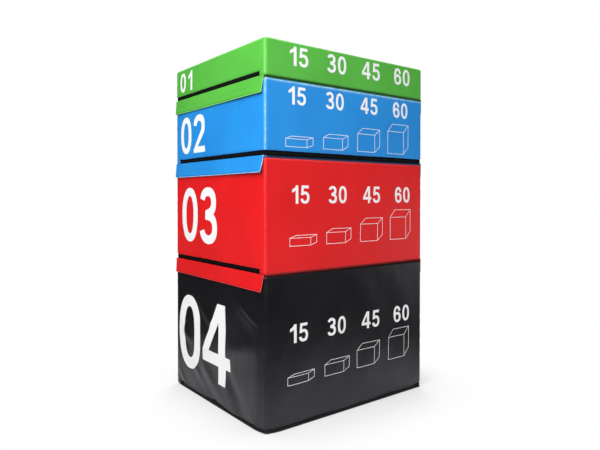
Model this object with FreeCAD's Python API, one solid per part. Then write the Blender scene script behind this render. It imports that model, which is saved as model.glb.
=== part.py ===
import FreeCAD
import Part
import math
import os
from collections import namedtuple

# Four stacking soft plyo boxes, black at the bottom, then red, blue and green.
# Each is a foam block in a sewn vinyl cover that opens along a zip on three sides.
# The upper three carry two flaps that press onto loop tape on the box below.
# Frame: millimetres, origin on the floor under the stack's centre, +Z up,
# +X to the right along the wide front, +Y to the back.

# Footprint and heights
footprint_width = 900.0
footprint_depth = 750.0
green_height = 150.0
blue_height = 300.0
red_height = 450.0
black_height = 600.0

# Vinyl cover and foam block
vinyl_thickness = 1.0
corner_radius = 14.0
top_edge_radius = 8.0
bottom_edge_radius = 3.0
core_slack = 5.0
core_corner_radius = 12.0
core_edge_radius = 12.0

# Zip closure: the tape lies in a groove between the turned-in edges of the base and the walls
hem_height = 7.0
zip_opening = 20.0
zip_recess = 3.2
zip_end_inset = 20.0
tape_thickness = 0.9
chain_width = 6.0
chain_proud = 1.5
chain_crown = 1.0
chain_parting = 1.2

# Zip slider: two plates joined by a divider, with a bridge for the pull
running_gap = 0.3
slider_length = 18.0
slider_stop_gap = 2.0
slider_nose_flare = 2.0
slider_nose_depth = 3.5
slider_corner_radius = 1.2
slider_flange = 1.2
slider_top_plate = 1.4
slider_under_plate = 1.2
divider_thickness = 0.8
divider_length = 6.0
divider_setback = 1.0
bridge_length = 13.0
bridge_width = 4.0
bridge_bar = 1.3
bridge_radius = 2.4

# Zip pull: a tab on two arms, with a cross bar under the bridge
pull_bar_radius = 1.0
pull_arm_gap = 0.4
pull_arm_width = 1.8
pull_arm_reach = 8.5
pull_length = 40.0
pull_width = 10.0
pull_thickness = 1.6
pull_hole_radius = 2.0
pull_hole_inset = 5.5

# Flaps: doubled vinyl that turns on its seam above the hem
flap_drop = 65.0
flap_thickness = 2.4
flap_end_gap = 6.0
flap_taper = 5.0
flap_corner_radius = 4.0
flap_seat_gap = 0.3
green_left_flare = 0.5
blue_left_flare = 2.0
red_left_flare = 0.5
right_flare = 0.0

# Hook tape inside the flaps and loop tape on the box below
fastener_thickness = 1.2
fastener_end_margin = 15.0
hook_start = 30.0
hook_width = 30.0
loop_width = 38.0

# How far cutting shapes run past what they cut
overrun = 2.0

FRONT, BACK = -1, 1
LEFT, RIGHT = -1, 1
QUARTER_TURN = 90.0
half_width = footprint_width / 2
half_depth = footprint_depth / 2
mitre_depth = corner_radius + top_edge_radius
tape_face = half_width - zip_recess
zip_middle = hem_height + zip_opening / 2
flap_length = footprint_depth - 2 * flap_end_gap
fastener_length = flap_length - 2 * fastener_end_margin
hook_middle = hook_start + hook_width / 2 - hem_height

V = FreeCAD.Vector
UP = V(0, 0, 1)
Box = namedtuple("Box", "name floor height fold_side left_flare has_loop")


def stack():
    """The boxes from the floor up. fold_side is the side without a zip, on which the base folds open."""
    rows = [
        ("black", black_height, BACK, None, True),
        ("red", red_height, FRONT, red_left_flare, True),
        ("blue", blue_height, BACK, blue_left_flare, True),
        ("green", green_height, FRONT, green_left_flare, False),
    ]
    floor = 0
    boxes = []
    for name, height, fold_side, left_flare, has_loop in rows:
        boxes.append(Box(name, floor, height, fold_side, left_flare, has_loop))
        floor += height
    return boxes


def box_between(low, high):
    """Plain block between two opposite corners."""
    size = high - low
    return Part.makeBox(size.x, size.y, size.z, low)


def edges_at(shape, height):
    """Edges that lie wholly at one height."""
    return [e for e in shape.Edges if all(math.isclose(v.Z, height, abs_tol=1e-6) for v in e.Vertexes)]


def edges_along(shape, direction):
    """Straight edges parallel to a direction."""
    found = []
    for edge in shape.Edges:
        if isinstance(edge.Curve, Part.Line) and abs(edge.Curve.Direction.dot(direction)) > 1 - 1e-9:
            found.append(edge)
    return found


def rounded_block(inset, low, high, corner, top_edge, bottom_edge):
    """Block inside the footprint, with round upright corners and rolled top and bottom edges."""
    reach = V(half_width - inset, half_depth - inset, 0)
    block = box_between(V(-reach.x, -reach.y, low), V(reach.x, reach.y, high))
    block = block.makeFillet(corner, edges_along(block, UP))
    block = block.makeFillet(top_edge, edges_at(block, high))
    return block.makeFillet(bottom_edge, edges_at(block, low))


def foam_core(box):
    """Foam block that fills the cover from top to bottom, with slack at the sides."""
    return rounded_block(
        vinyl_thickness + core_slack,
        box.floor + vinyl_thickness,
        box.floor + box.height - vinyl_thickness,
        core_corner_radius,
        core_edge_radius,
        core_edge_radius,
    )


def run_round(box, profile, inset):
    """Sweeps a section at the right wall along that side, across and back along the left side.

    The section lies in the XZ plane, with X out from the wall and Z up from the middle of the zip. The run
    starts and ends at an inset from the side on which the base folds, and rounds both corners between.
    """
    start = -half_depth + inset
    bend = half_depth - corner_radius
    profile.translate(V(half_width, start, box.floor + zip_middle))
    side_run = profile.extrude(V(0, bend - start, 0))
    profile.translate(V(0, bend - start, 0))
    pivot = V(half_width - corner_radius, bend, 0)
    corner = profile.revolve(pivot, UP, QUARTER_TURN)
    profile.rotate(pivot, UP, QUARTER_TURN)
    cross_run = profile.extrude(V(-2 * pivot.x, 0, 0))
    mirrored = [s.mirror(V(0, 0, 0), V(1, 0, 0)) for s in (side_run, corner)]
    run = side_run.multiFuse([corner, cross_run] + mirrored).removeSplitter()
    return run if box.fold_side == FRONT else run.mirror(V(0, 0, 0), V(0, 1, 0))


def groove_profile(wall):
    """Section of the zip groove with rounded lips, as cut from the cover's outside or, a wall deeper, its inside."""
    edge = zip_opening / 2 + wall
    lip = zip_opening / 2 + zip_recess
    curl = (zip_recess - wall) * math.sqrt(1 / 2)
    outside = V(overrun, 0, lip)
    mouth = V(-wall, 0, lip)
    bend = V(curl - zip_recess, 0, lip - curl)
    turn = V(-zip_recess, 0, edge)
    bed = V(-zip_recess - wall, 0, edge)
    flip = FreeCAD.Matrix()
    flip.scale(1, 1, -1)
    edges = [
        Part.LineSegment(outside, mouth).toShape(),
        Part.Arc(mouth, bend, turn).toShape(),
    ]
    if wall > 0:
        edges.append(Part.LineSegment(turn, bed).toShape())
    edges += [e.transformGeometry(flip) for e in edges]
    edges.append(Part.LineSegment(bed, flip.multVec(bed)).toShape())
    edges.append(Part.LineSegment(outside, flip.multVec(outside)).toShape())
    return Part.Face(Part.Wire(Part.__sortEdges__(edges)))


def cover_shell(box):
    """The whole sewn cover as one closed skin with the zip groove, before it is parted into panels."""
    top = box.floor + box.height
    outside = rounded_block(0, box.floor, top, corner_radius, top_edge_radius, bottom_edge_radius)
    inside = rounded_block(
        vinyl_thickness,
        box.floor + vinyl_thickness,
        top - vinyl_thickness,
        corner_radius - vinyl_thickness,
        top_edge_radius - vinyl_thickness,
        bottom_edge_radius - vinyl_thickness,
    )
    outside = outside.cut(run_round(box, groove_profile(0), zip_end_inset))
    inside = inside.cut(run_round(box, groove_profile(vinyl_thickness), zip_end_inset - vinyl_thickness))
    return outside.cut(inside)


def mitre_prism(box, axis, side):
    """Frustum over one face of the box. Its slanted sides run through the box's edges at 45 degrees."""
    low = [-half_width, -half_depth, box.floor]
    high = [half_width, half_depth, box.floor + box.height]
    others = [k for k in range(3) if k != axis]
    wires = []
    for grow in (overrun, -mitre_depth):
        face = (high[axis] if side > 0 else low[axis]) + side * grow
        points = []
        for first, second in ((low, low), (high, low), (high, high), (low, high)):
            point = [0, 0, 0]
            point[axis] = face
            for k, corner in zip(others, (first, second)):
                point[k] = corner[k] + (grow if corner is high else -grow)
            points.append(V(*point))
        wires.append(Part.makePolygon(points + points[:1]))
    return Part.makeLoft(wires, True, True)


def zip_zone(box, top):
    """Block round the three zipped sides, from below the floor of the box up to a height above it."""
    zipped_end = -box.fold_side * (half_depth + overrun)
    plain_end = box.fold_side * (half_depth - zip_end_inset)
    reach = half_width + overrun
    low = V(-reach, min(zipped_end, plain_end), box.floor - overrun)
    high = V(reach, max(zipped_end, plain_end), box.floor + top)
    return box_between(low, high)


def cover_panels(box):
    """The six vinyl panels, parted at mid edge where they are sewn together."""
    shell = cover_shell(box)
    zip_slot = zip_zone(box, hem_height + zip_opening)
    hem = shell.common(zip_zone(box, hem_height))
    walls = {"left": (0, -1), "right": (0, 1), "front": (1, -1), "back": (1, 1)}
    panels = {}
    for name, (axis, side) in walls.items():
        panels[name + "_panel"] = shell.common(mitre_prism(box, axis, side)).cut(zip_slot)
    panels["top_panel"] = shell.common(mitre_prism(box, 2, 1))
    base = shell.common(mitre_prism(box, 2, -1))
    panels["base_panel"] = base.fuse(hem).removeSplitter()
    return panels


def tape_profile(row):
    """Section of one zip tape with its row of teeth, above or below the parting."""
    parting = chain_parting / 2
    chain = chain_width / 2
    edge = zip_opening / 2
    back = -zip_recess - tape_thickness
    crest = chain_proud - zip_recess
    diagonal_share = math.sqrt(1 / 2)
    rise = chain_proud * diagonal_share
    fall = chain_crown * (1 - diagonal_share)
    inner_tooth = V(back, 0, row * parting)
    inner_edge = V(back, 0, row * edge)
    outer_edge = V(-zip_recess, 0, row * edge)
    foot = V(-zip_recess, 0, row * chain)
    shoulder = V(rise - zip_recess, 0, row * (chain - fall))
    crown = V(crest, 0, row * (chain - chain_crown))
    outer_tooth = V(crest, 0, row * parting)
    sides = [
        Part.LineSegment(outer_tooth, inner_tooth),
        Part.LineSegment(inner_tooth, inner_edge),
        Part.LineSegment(inner_edge, outer_edge),
        Part.LineSegment(outer_edge, foot),
        Part.Arc(foot, shoulder, crown),
        Part.LineSegment(crown, outer_tooth),
    ]
    return Part.Face(Part.Wire([s.toShape() for s in sides]))


def zip_tape(box, row):
    """One tape, from turned edge to parting, round the three zipped sides."""
    return run_round(box, tape_profile(row), zip_end_inset)


def shield(rear, nose, low, high):
    """Slider plate between two levels out from the tape, wide and round at the nose."""
    back = slider_length / 2
    shoulder = -back + slider_nose_depth
    corners = [V(low, back, -rear), V(low, back, rear), V(low, shoulder, nose), V(low, shoulder, -nose)]
    sides = [
        Part.LineSegment(corners[0], corners[1]),
        Part.LineSegment(corners[1], corners[2]),
        Part.Arc(corners[2], V(low, -back, 0), corners[3]),
        Part.LineSegment(corners[3], corners[0]),
    ]
    return Part.Face(Part.Wire([s.toShape() for s in sides])).extrude(V(high - low, 0, 0))


def slider_levels():
    """Levels out from the tape: flange foot, plate inside and plate outside."""
    inside = chain_proud + running_gap
    return running_gap, inside, inside + slider_top_plate


def bridge_rise():
    """Height of the bridge over the plate, from the pull's bar and its clearances."""
    return 2 * (pull_bar_radius + running_gap) + bridge_bar


def slider_bridge():
    """Arch along the slider that holds the pull."""
    outside = slider_levels()[2]
    top = outside + bridge_rise()
    reach = V(0, bridge_length / 2, bridge_width / 2)
    arch = box_between(V(outside, -reach.y, -reach.z), V(top, reach.y, reach.z))
    crown = [e for e in edges_along(arch, UP) if math.isclose(e.Vertexes[0].X, top)]
    arch = arch.makeFillet(bridge_radius, crown)
    gap = reach.y - bridge_bar
    opening = box_between(V(outside, -gap, -reach.z), V(top - bridge_bar, gap, reach.z))
    eaves = [e for e in edges_along(opening, UP) if math.isclose(e.Vertexes[0].X, top - bridge_bar)]
    return arch.cut(opening.makeFillet(bridge_radius - bridge_bar, eaves))


def zip_slider():
    """Slider about the chain, in the tape's own axes: X out from the tape, nose towards -Y."""
    foot, inside, outside = slider_levels()
    rear = chain_width / 2 + running_gap + slider_flange
    nose = rear + slider_nose_flare
    under = -tape_thickness - running_gap
    top = shield(rear, nose, foot, outside)
    top = top.makeFillet(slider_corner_radius, edges_along(top, V(1, 0, 0)))
    channel = shield(rear - slider_flange, nose - slider_flange, foot, inside)
    mouths = [box_between(V(foot, y - overrun, -half), V(inside, y + overrun, half)) for y, half in (
        (slider_length / 2, rear - slider_flange),
        (-slider_length / 2, nose - slider_flange),
    )]
    bottom = shield(rear, nose, under - slider_under_plate, under)
    bottom = bottom.makeFillet(slider_corner_radius, edges_along(bottom, V(1, 0, 0)))
    tip = -slider_length / 2 + divider_setback
    blade = V(0, 0, divider_thickness / 2)
    divider = box_between(V(under, tip, -blade.z), V(inside, tip + divider_length, blade.z))
    top = top.cut(channel.multiFuse(mouths))
    return top.multiFuse([bottom, divider, slider_bridge()]).removeSplitter()


def zip_pull():
    """Pull tab lying back along the chain, with its cross bar on the slider's centre."""
    level = slider_levels()[2] + running_gap + pull_bar_radius
    inner = bridge_width / 2 + pull_arm_gap
    outer = inner + pull_arm_width
    half = pull_thickness / 2
    bar = Part.makeCylinder(pull_bar_radius, 2 * outer, V(level, 0, -outer), UP)
    neck = V(level - half, pull_arm_reach, outer)
    end = V(level - half, pull_length - pull_width / 2, pull_width / 2)
    outline = [
        Part.LineSegment(V(neck.x, 0, -outer), V(neck.x, 0, outer)),
        Part.LineSegment(V(neck.x, 0, outer), neck),
        Part.LineSegment(neck, end),
        Part.Arc(end, V(neck.x, pull_length, 0), V(end.x, end.y, -end.z)),
        Part.LineSegment(V(end.x, end.y, -end.z), V(neck.x, neck.y, -outer)),
        Part.LineSegment(V(neck.x, neck.y, -outer), V(neck.x, 0, -outer)),
    ]
    tab = Part.Face(Part.Wire([s.toShape() for s in outline])).extrude(V(pull_thickness, 0, 0))
    eye = box_between(V(neck.x, -overrun, -inner), V(level + half, pull_arm_reach, inner))
    hole_at = V(neck.x, pull_length - pull_hole_inset, 0)
    hole = Part.makeCylinder(pull_hole_radius, pull_thickness, hole_at, V(1, 0, 0))
    return tab.cut(eye.fuse(hole)).fuse(bar).removeSplitter()


def seat_on_zip(box, piece):
    """Moves a slider piece from the tape's own axes to the closed end of the zip on the right side."""
    park = -half_depth + zip_end_inset + slider_stop_gap + slider_length / 2
    piece.translate(V(tape_face, park, box.floor + zip_middle))
    return piece if box.fold_side == FRONT else piece.mirror(V(0, 0, 0), V(0, 1, 0))


def closed_angle():
    """Flap angle at which its hook tape lies on the loop tape, but for the seat gap."""
    depth = flap_thickness / 2 + fastener_thickness
    stand = fastener_thickness - flap_thickness / 2
    reach = math.hypot(hook_start, depth)
    return math.degrees(math.asin(stand / reach) + math.atan2(depth, hook_start))


def swing_out(box, side, flare, piece):
    """Turns a flap piece outwards about its seam, then moves it to the box."""
    piece.rotate(V(0, 0, 0), V(0, -side, 0), closed_angle() + flare)
    seam = half_width + flap_seat_gap + flap_thickness / 2
    piece.translate(V(side * seam, 0, box.floor + hem_height))
    return piece


def flap_blank():
    """Flap hanging straight down from its seam, with a round top edge and drawn-in ends."""
    half = flap_thickness / 2
    end = flap_length / 2
    lower_end = end - flap_taper
    section = Part.Wire([
        Part.LineSegment(V(-half, -end, 0), V(-half, -end, -flap_drop)).toShape(),
        Part.LineSegment(V(-half, -end, -flap_drop), V(half, -end, -flap_drop)).toShape(),
        Part.LineSegment(V(half, -end, -flap_drop), V(half, -end, 0)).toShape(),
        Part.Arc(V(half, -end, 0), V(0, -end, half), V(-half, -end, 0)).toShape(),
    ])
    strip = Part.Face(section).extrude(V(0, flap_length, 0))
    corners = [
        V(-half, -end, half),
        V(-half, -end, 0),
        V(-half, -lower_end, -flap_drop),
        V(-half, lower_end, -flap_drop),
        V(-half, end, 0),
        V(-half, end, half),
    ]
    outline = Part.Face(Part.makePolygon(corners + corners[:1])).extrude(V(flap_thickness, 0, 0))
    lower = [e for e in edges_along(outline, V(1, 0, 0)) if math.isclose(e.Vertexes[0].Z, -flap_drop)]
    return strip.common(outline.makeFillet(flap_corner_radius, lower))


def hook_blank(side):
    """Hook tape on the inner face of a hanging flap."""
    inner = -side * flap_thickness / 2
    faces = sorted((inner, inner - side * fastener_thickness))
    reach = fastener_length / 2
    low = V(faces[0], -reach, -hook_start - hook_width)
    return box_between(low, V(faces[1], reach, -hook_start))


def loop_strips(box):
    """Loop tape on the left and right walls, at the height of the hook tape of the box above."""
    reach = fastener_length / 2
    middle = box.floor + box.height - hook_middle
    strips = []
    for side in (LEFT, RIGHT):
        faces = sorted((side * half_width, side * (half_width + fastener_thickness)))
        low = V(faces[0], -reach, middle - loop_width / 2)
        strips.append(box_between(low, V(faces[1], reach, middle + loop_width / 2)))
    return Part.makeCompound(strips)


def box_pieces(box):
    """Every piece of one box, by node name without the box's own name."""
    pieces = {"foam_core": foam_core(box)}
    pieces.update(cover_panels(box))
    pieces["zip_upper_tape"] = zip_tape(box, 1)
    pieces["zip_lower_tape"] = zip_tape(box, -1)
    pieces["zip_slider"] = seat_on_zip(box, zip_slider())
    pieces["zip_pull"] = seat_on_zip(box, zip_pull())
    if box.has_loop:
        pieces["loop_strips"] = loop_strips(box)
    if box.left_flare is not None:
        for word, side, flare in (("left", LEFT, box.left_flare), ("right", RIGHT, right_flare)):
            pieces[word + "_flap"] = swing_out(box, side, flare, flap_blank())
            pieces[word + "_hook_strip"] = swing_out(box, side, flare, hook_blank(side))
    return pieces


def main():
    """Builds the stack and writes one STEP file for each piece."""
    os.makedirs("parts", exist_ok=True)
    for box in stack():
        for name, shape in box_pieces(box).items():
            node = box.name + "_" + name
            if not shape.isValid() or not shape.Solids:
                raise ValueError(node + " is not a valid solid")
            shape.exportStep(os.path.join("parts", node + ".step"))


main()
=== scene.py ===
"""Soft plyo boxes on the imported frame: sewn vinyl covers, zips, flaps and prints, in a plain studio."""

import logging
import math
from dataclasses import dataclass, field
from enum import Enum
from typing import Callable, Iterable, NamedTuple, Optional, Sequence, Union

import bmesh
import bpy
import numpy as np
from mathutils import Euler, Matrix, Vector


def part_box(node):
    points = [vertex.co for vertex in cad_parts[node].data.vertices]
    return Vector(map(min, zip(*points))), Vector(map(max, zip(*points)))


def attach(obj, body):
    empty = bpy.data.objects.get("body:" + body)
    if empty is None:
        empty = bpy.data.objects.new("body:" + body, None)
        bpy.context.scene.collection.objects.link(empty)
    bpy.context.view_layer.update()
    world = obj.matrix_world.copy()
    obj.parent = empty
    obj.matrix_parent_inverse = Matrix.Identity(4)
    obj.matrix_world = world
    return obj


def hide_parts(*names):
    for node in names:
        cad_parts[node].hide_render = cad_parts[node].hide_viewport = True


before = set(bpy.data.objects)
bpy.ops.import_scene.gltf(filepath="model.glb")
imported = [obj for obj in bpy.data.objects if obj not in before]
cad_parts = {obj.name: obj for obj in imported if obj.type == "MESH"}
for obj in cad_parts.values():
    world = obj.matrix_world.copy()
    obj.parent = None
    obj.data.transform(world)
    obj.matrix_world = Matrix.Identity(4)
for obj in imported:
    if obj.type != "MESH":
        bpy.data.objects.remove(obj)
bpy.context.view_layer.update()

Array = np.ndarray
Colour = tuple[float, float, float, float]
Point = tuple[float, float]
Span = tuple[float, float]
Loop = list[Point]
Figure = tuple[float, list[Loop]]
Piece = bpy.types.Object
Material = bpy.types.Material
EditMesh = bmesh.types.BMesh

TURN = 2 * math.pi
QUARTER = math.pi / 2
EIGHTH = math.pi / 4
DIAGONAL = math.sqrt(0.5)
UP = np.array([0.0, 0.0, 1.0])
WELD = 2e-5
NEAR = 1e-9
SHARP = math.radians(55)
PEBBLES = 780.0
WHITE = (1, 1, 1, 1)
WAVES = 9
WAVE_SHARE = 3.5
log = logging.getLogger("plyo_boxes")


class BoxName(Enum):
    """The boxes from the floor up."""

    BLACK = "black"
    RED = "red"
    BLUE = "blue"
    GREEN = "green"


class Named(Enum):
    """Options that give names their words."""

    @property
    def word(self) -> str:
        """The option's word in names."""
        return self.name.lower()


class Side(Named):
    """The four walls, each with the way it faces."""

    LEFT = (-1, 0)
    FRONT = (0, -1)
    RIGHT = (1, 0)
    BACK = (0, 1)

    @property
    def normal(self) -> Array:
        """The way out of the wall."""
        return np.array([*self.value, 0.0])

    @property
    def along(self) -> Array:
        """The way to the right, for someone who faces the wall."""
        return np.array([-self.value[1], self.value[0], 0.0])

    @property
    def is_end(self) -> bool:
        """True for the left and right walls, which the flaps hang on."""
        return self.value[0] != 0


END_WALLS = (Side.LEFT, Side.RIGHT)


class Row(Named):
    """The two halves of a zip."""

    UPPER = 1
    LOWER = -1


class Sock:
    """A node's value that takes part in Python arithmetic."""

    def __init__(self, graph: "Graph", link: bpy.types.NodeSocket) -> None:
        """Keeps the tree and the socket that gives the value."""
        self.graph = graph
        self.link = link

    def _math(self, operation: str, *values: "Value") -> "Sock":
        """Adds one Math node over the given values."""
        return self.graph.node("ShaderNodeMath", {"operation": operation}, dict(enumerate(values)))

    def __add__(self, other: "Value") -> "Sock":
        """self + other."""
        return self._math("ADD", self, other)

    def __sub__(self, other: "Value") -> "Sock":
        """self - other."""
        return self._math("SUBTRACT", self, other)

    def __rsub__(self, other: "Value") -> "Sock":
        """other - self."""
        return self._math("SUBTRACT", other, self)

    def __mul__(self, other: "Value") -> "Sock":
        """self * other."""
        return self._math("MULTIPLY", self, other)

    __radd__ = __add__

    def sine(self) -> "Sock":
        """The sine of the value."""
        return self._math("SINE", self)

    def most(self, other: "Value") -> "Sock":
        """The larger of two values."""
        return self._math("MAXIMUM", self, other)

    def ease(self, low: float, high: float) -> "Sock":
        """0 below low, 1 above high and a smooth step between."""
        inputs = {"Value": self, "From Min": low, "From Max": high}
        return self.graph.node("ShaderNodeMapRange", {"interpolation_type": "SMOOTHSTEP"}, inputs)


Value = Union[float, Sock]


class Graph:
    """A node tree of any kind, with one method that makes every node."""

    def __init__(self, tree: bpy.types.NodeTree) -> None:
        """Starts from an empty tree."""
        self.tree = tree
        tree.nodes.clear()

    def node(self, kind: str, settings: Optional[dict] = None, inputs: Optional[dict] = None,
             out: Union[int, str] = 0) -> Sock:
        """Makes a node.

        Args:
            kind: The node's type name.
            settings: The node's own settings, set before its sockets.
            inputs: Values or links by socket name or place.
            out: The output to hand back, by name or place.

        Returns:
            The chosen output.
        """
        made = self.tree.nodes.new(kind)
        for name, value in (settings or {}).items():
            setattr(made, name, value)
        for name, value in (inputs or {}).items():
            if isinstance(value, Sock):
                self.tree.links.new(value.link, made.inputs[name])
            else:
                made.inputs[name].default_value = value
        return Sock(self, made.outputs[out] if len(made.outputs) else None)


class Paint(Graph):
    """A material under construction."""

    def __init__(self, name: str) -> None:
        """Makes the empty material, with object coordinates in metres.

        Args:
            name: The material's name.
        """
        self.material = bpy.data.materials.new(name)
        self.material.use_nodes = True
        super().__init__(self.material.node_tree)
        self.place = self.node("ShaderNodeTexCoord", out="Object")

    def noise(self, scale: float, detail: float = 3.0, rough: float = 0.5) -> Sock:
        """Smooth noise from 0 to 1."""
        inputs = {"Vector": self.place, "Scale": scale, "Detail": detail, "Roughness": rough}
        return self.node("ShaderNodeTexNoise", inputs=inputs)

    def cells(self, scale: float, feature: str = "F1") -> Sock:
        """Distance to the nearest point of a cell pattern."""
        inputs = {"Vector": self.place, "Scale": scale}
        return self.node("ShaderNodeTexVoronoi", {"feature": feature}, inputs, "Distance")

    def mark(self, name: str) -> Sock:
        """A value that the mesh carries."""
        return self.node("ShaderNodeAttribute", {"attribute_name": name}, out="Fac")

    def blend(self, share: Value, first: Union[Sock, Colour], second: Union[Sock, Colour]) -> Sock:
        """Mixes two colours."""
        return self.node("ShaderNodeMix", {"data_type": "RGBA"}, {0: share, 6: first, 7: second}, 2)

    def bump(self, height: Sock, distance: float, strength: float = 1.0) -> Sock:
        """Turns a height from 0 to 1 into a normal."""
        inputs = {"Height": height, "Distance": distance, "Strength": strength}
        return self.node("ShaderNodeBump", inputs=inputs)

    def end(self, shade: Sock, rough: Sock, normal: Sock, gloss: float,
            more: Optional[dict] = None) -> Material:
        """Ends the material.

        Args:
            shade: The base colour.
            rough: The roughness.
            normal: The bumped normal.
            gloss: The specular level.
            more: Other inputs of the shader.

        Returns:
            The finished material.
        """
        inputs = {"Base Color": shade, "Roughness": rough, "Normal": normal, "Specular IOR Level": gloss}
        shader = self.node("ShaderNodeBsdfPrincipled", inputs={**inputs, **(more or {})})
        self.node("ShaderNodeOutputMaterial", inputs={"Surface": shader})
        return self.material


@dataclass(frozen=True)
class Vinyl:
    """Coated fabric: pebble grain, faint clouding, seams and top rims painted paler (wear and painted
    highlight), and painted shade in sewn channels and along the bottom gaps.
    """

    name: str
    colour: Colour
    deep: Colour
    # The paler colour of worn seams and of the painted highlight along seams and rims.
    rubbed_and_lit: Colour
    roughness: float = 0.44
    gloss: float = 0.42
    # Strength of the paler seams and rims: wear and painted highlight.
    wear_and_sheen: float = 0.8
    tint: Colour = (1.0, 1.0, 1.0, 1.0)

    @property
    def thread(self) -> Colour:
        """The low colour of the thread that sews it."""
        return tuple(0.55 * part for part in self.colour[:3]) + (1,)

    def shaded(self, share: float) -> Colour:
        """The deep colour at a share of its strength, for painted shade in sewn channels and along the
        cover's foot.
        """
        red, green, blue, _ = self.deep
        return (red * share, green * share, blue * share, 1.0)

    def material(self) -> Material:
        """Builds the finish.

        Returns:
            The material.
        """
        paint = Paint(self.name)
        cloud = paint.noise(scale=5.0, detail=4.0)
        handled = paint.noise(scale=38.0, detail=5.0, rough=0.62)
        pebble = paint.cells(PEBBLES, "SMOOTH_F1")
        pores = paint.noise(scale=2400.0, detail=2.0)
        seam = paint.mark("seam")
        # Positive seam marks blend towards the paler colour: wear plus a painted highlight along seams
        # and rims.
        wear_and_sheen = seam.most(0.0) * (0.35 + handled.ease(0.3, 0.65) * 0.65) * self.wear_and_sheen
        ground = paint.blend(cloud.ease(0.3, 0.72), self.deep, self.colour)
        # Negative marks darken: down to 1, partly dirt and partly painted shade in sewn channels; from 1
        # to 2, near-black painted shade in the gaps along the bottom.
        sewn, gap_shade = self.shaded(0.35), self.shaded(0.03)
        ground = paint.blend((0.0 - seam).ease(0.0, 1.0) * 0.7, ground, sewn)
        ground = paint.blend((0.0 - seam).ease(1.0, 2.0), ground, gap_shade)
        shade = paint.blend(wear_and_sheen, ground, self.rubbed_and_lit)
        rough = self.roughness + (handled - 0.5) * 0.16 + (cloud - 0.5) * 0.08 + wear_and_sheen * 0.08
        grain = paint.bump(pebble * 0.8 + pores * 0.3, distance=0.00025, strength=0.35)
        return paint.end(shade, rough, grain, self.gloss, {"Specular Tint": self.tint})


@dataclass(frozen=True)
class PrintInk:
    """Screen-printed white ink, a little thin and scuffed."""

    name: str = "print_ink"
    colour: Colour = (0.94, 0.94, 0.95, 1.0)
    scuffed: Colour = (0.82, 0.82, 0.84, 1.0)
    roughness: float = 0.48
    gloss: float = 0.3

    def material(self) -> Material:
        """Builds the finish.

        Returns:
            The material.
        """
        paint = Paint(self.name)
        scuff = paint.noise(scale=90.0, detail=6.0, rough=0.7).ease(0.6, 0.78)
        grain = paint.cells(PEBBLES, "SMOOTH_F1")
        shade = paint.blend(scuff * 0.6, self.colour, self.scuffed)
        normal = paint.bump(grain, distance=0.0002, strength=0.3)
        return paint.end(shade, self.roughness + scuff * 0.12, normal, self.gloss)


@dataclass(frozen=True)
class WovenTape:
    """Woven zip tape, whose ribs follow the tape's own map."""

    name: str = "zip_tape_weave"
    colour: Colour = (0.0022, 0.0022, 0.0025, 1.0)
    raised: Colour = (0.0065, 0.0065, 0.007, 1.0)
    gloss: float = 0.06
    rib: float = 0.0011
    roughness: float = 0.75

    def material(self) -> Material:
        """Builds the finish.

        Returns:
            The material.
        """
        paint = Paint(self.name)
        cloth = paint.node("ShaderNodeUVMap", {"uv_map": "cloth"})
        split = {"Vector": cloth}
        along = paint.node("ShaderNodeSeparateXYZ", inputs=split, out="X") * (TURN / self.rib)
        across = paint.node("ShaderNodeSeparateXYZ", inputs=split, out="Y") * (TURN / self.rib)
        weave = (along + across).sine() * 0.25 + (along - across).sine() * 0.25 + 0.5
        lint = paint.noise(scale=300.0, detail=4.0)
        shade = paint.blend(weave * 0.6 + lint * 0.4, self.colour, self.raised)
        normal = paint.bump(weave, distance=0.0003, strength=0.6)
        return paint.end(shade, self.roughness + lint * 0.2, normal, self.gloss)


@dataclass(frozen=True)
class Moulded:
    """Plastic or coated metal: zip coil, hooks, slider."""

    name: str
    colour: Colour
    worn: Colour
    roughness: float
    metallic: float = 0.0
    gloss: float = 0.5

    def material(self) -> Material:
        """Builds the finish.

        Returns:
            The material.
        """
        paint = Paint(self.name)
        smear = paint.noise(scale=160.0, detail=5.0, rough=0.6)
        fine = paint.noise(scale=1900.0)
        shade = paint.blend(smear.ease(0.45, 0.75), self.colour, self.worn)
        rough = self.roughness + (smear - 0.5) * 0.18
        normal = paint.bump(fine, distance=0.00008, strength=0.4)
        return paint.end(shade, rough, normal, self.gloss, {"Metallic": self.metallic})


@dataclass(frozen=True)
class Fuzzy:
    """Loop tape, brushed thread and cut foam: matt, with a fine broken surface."""

    name: str
    colour: Colour
    raised: Colour
    scale: float
    depth: float
    roughness: float = 0.82
    gloss: float = 0.2

    def material(self) -> Material:
        """Builds the finish.

        Returns:
            The material.
        """
        paint = Paint(self.name)
        tufts = paint.cells(self.scale)
        drift = paint.noise(self.scale / 9, detail=4.0)
        shade = paint.blend(tufts * 0.7 + drift * 0.3, self.colour, self.raised)
        normal = paint.bump(tufts + drift * 0.4, self.depth, strength=0.7)
        return paint.end(shade, self.roughness + drift * 0.12, normal, self.gloss)


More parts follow.
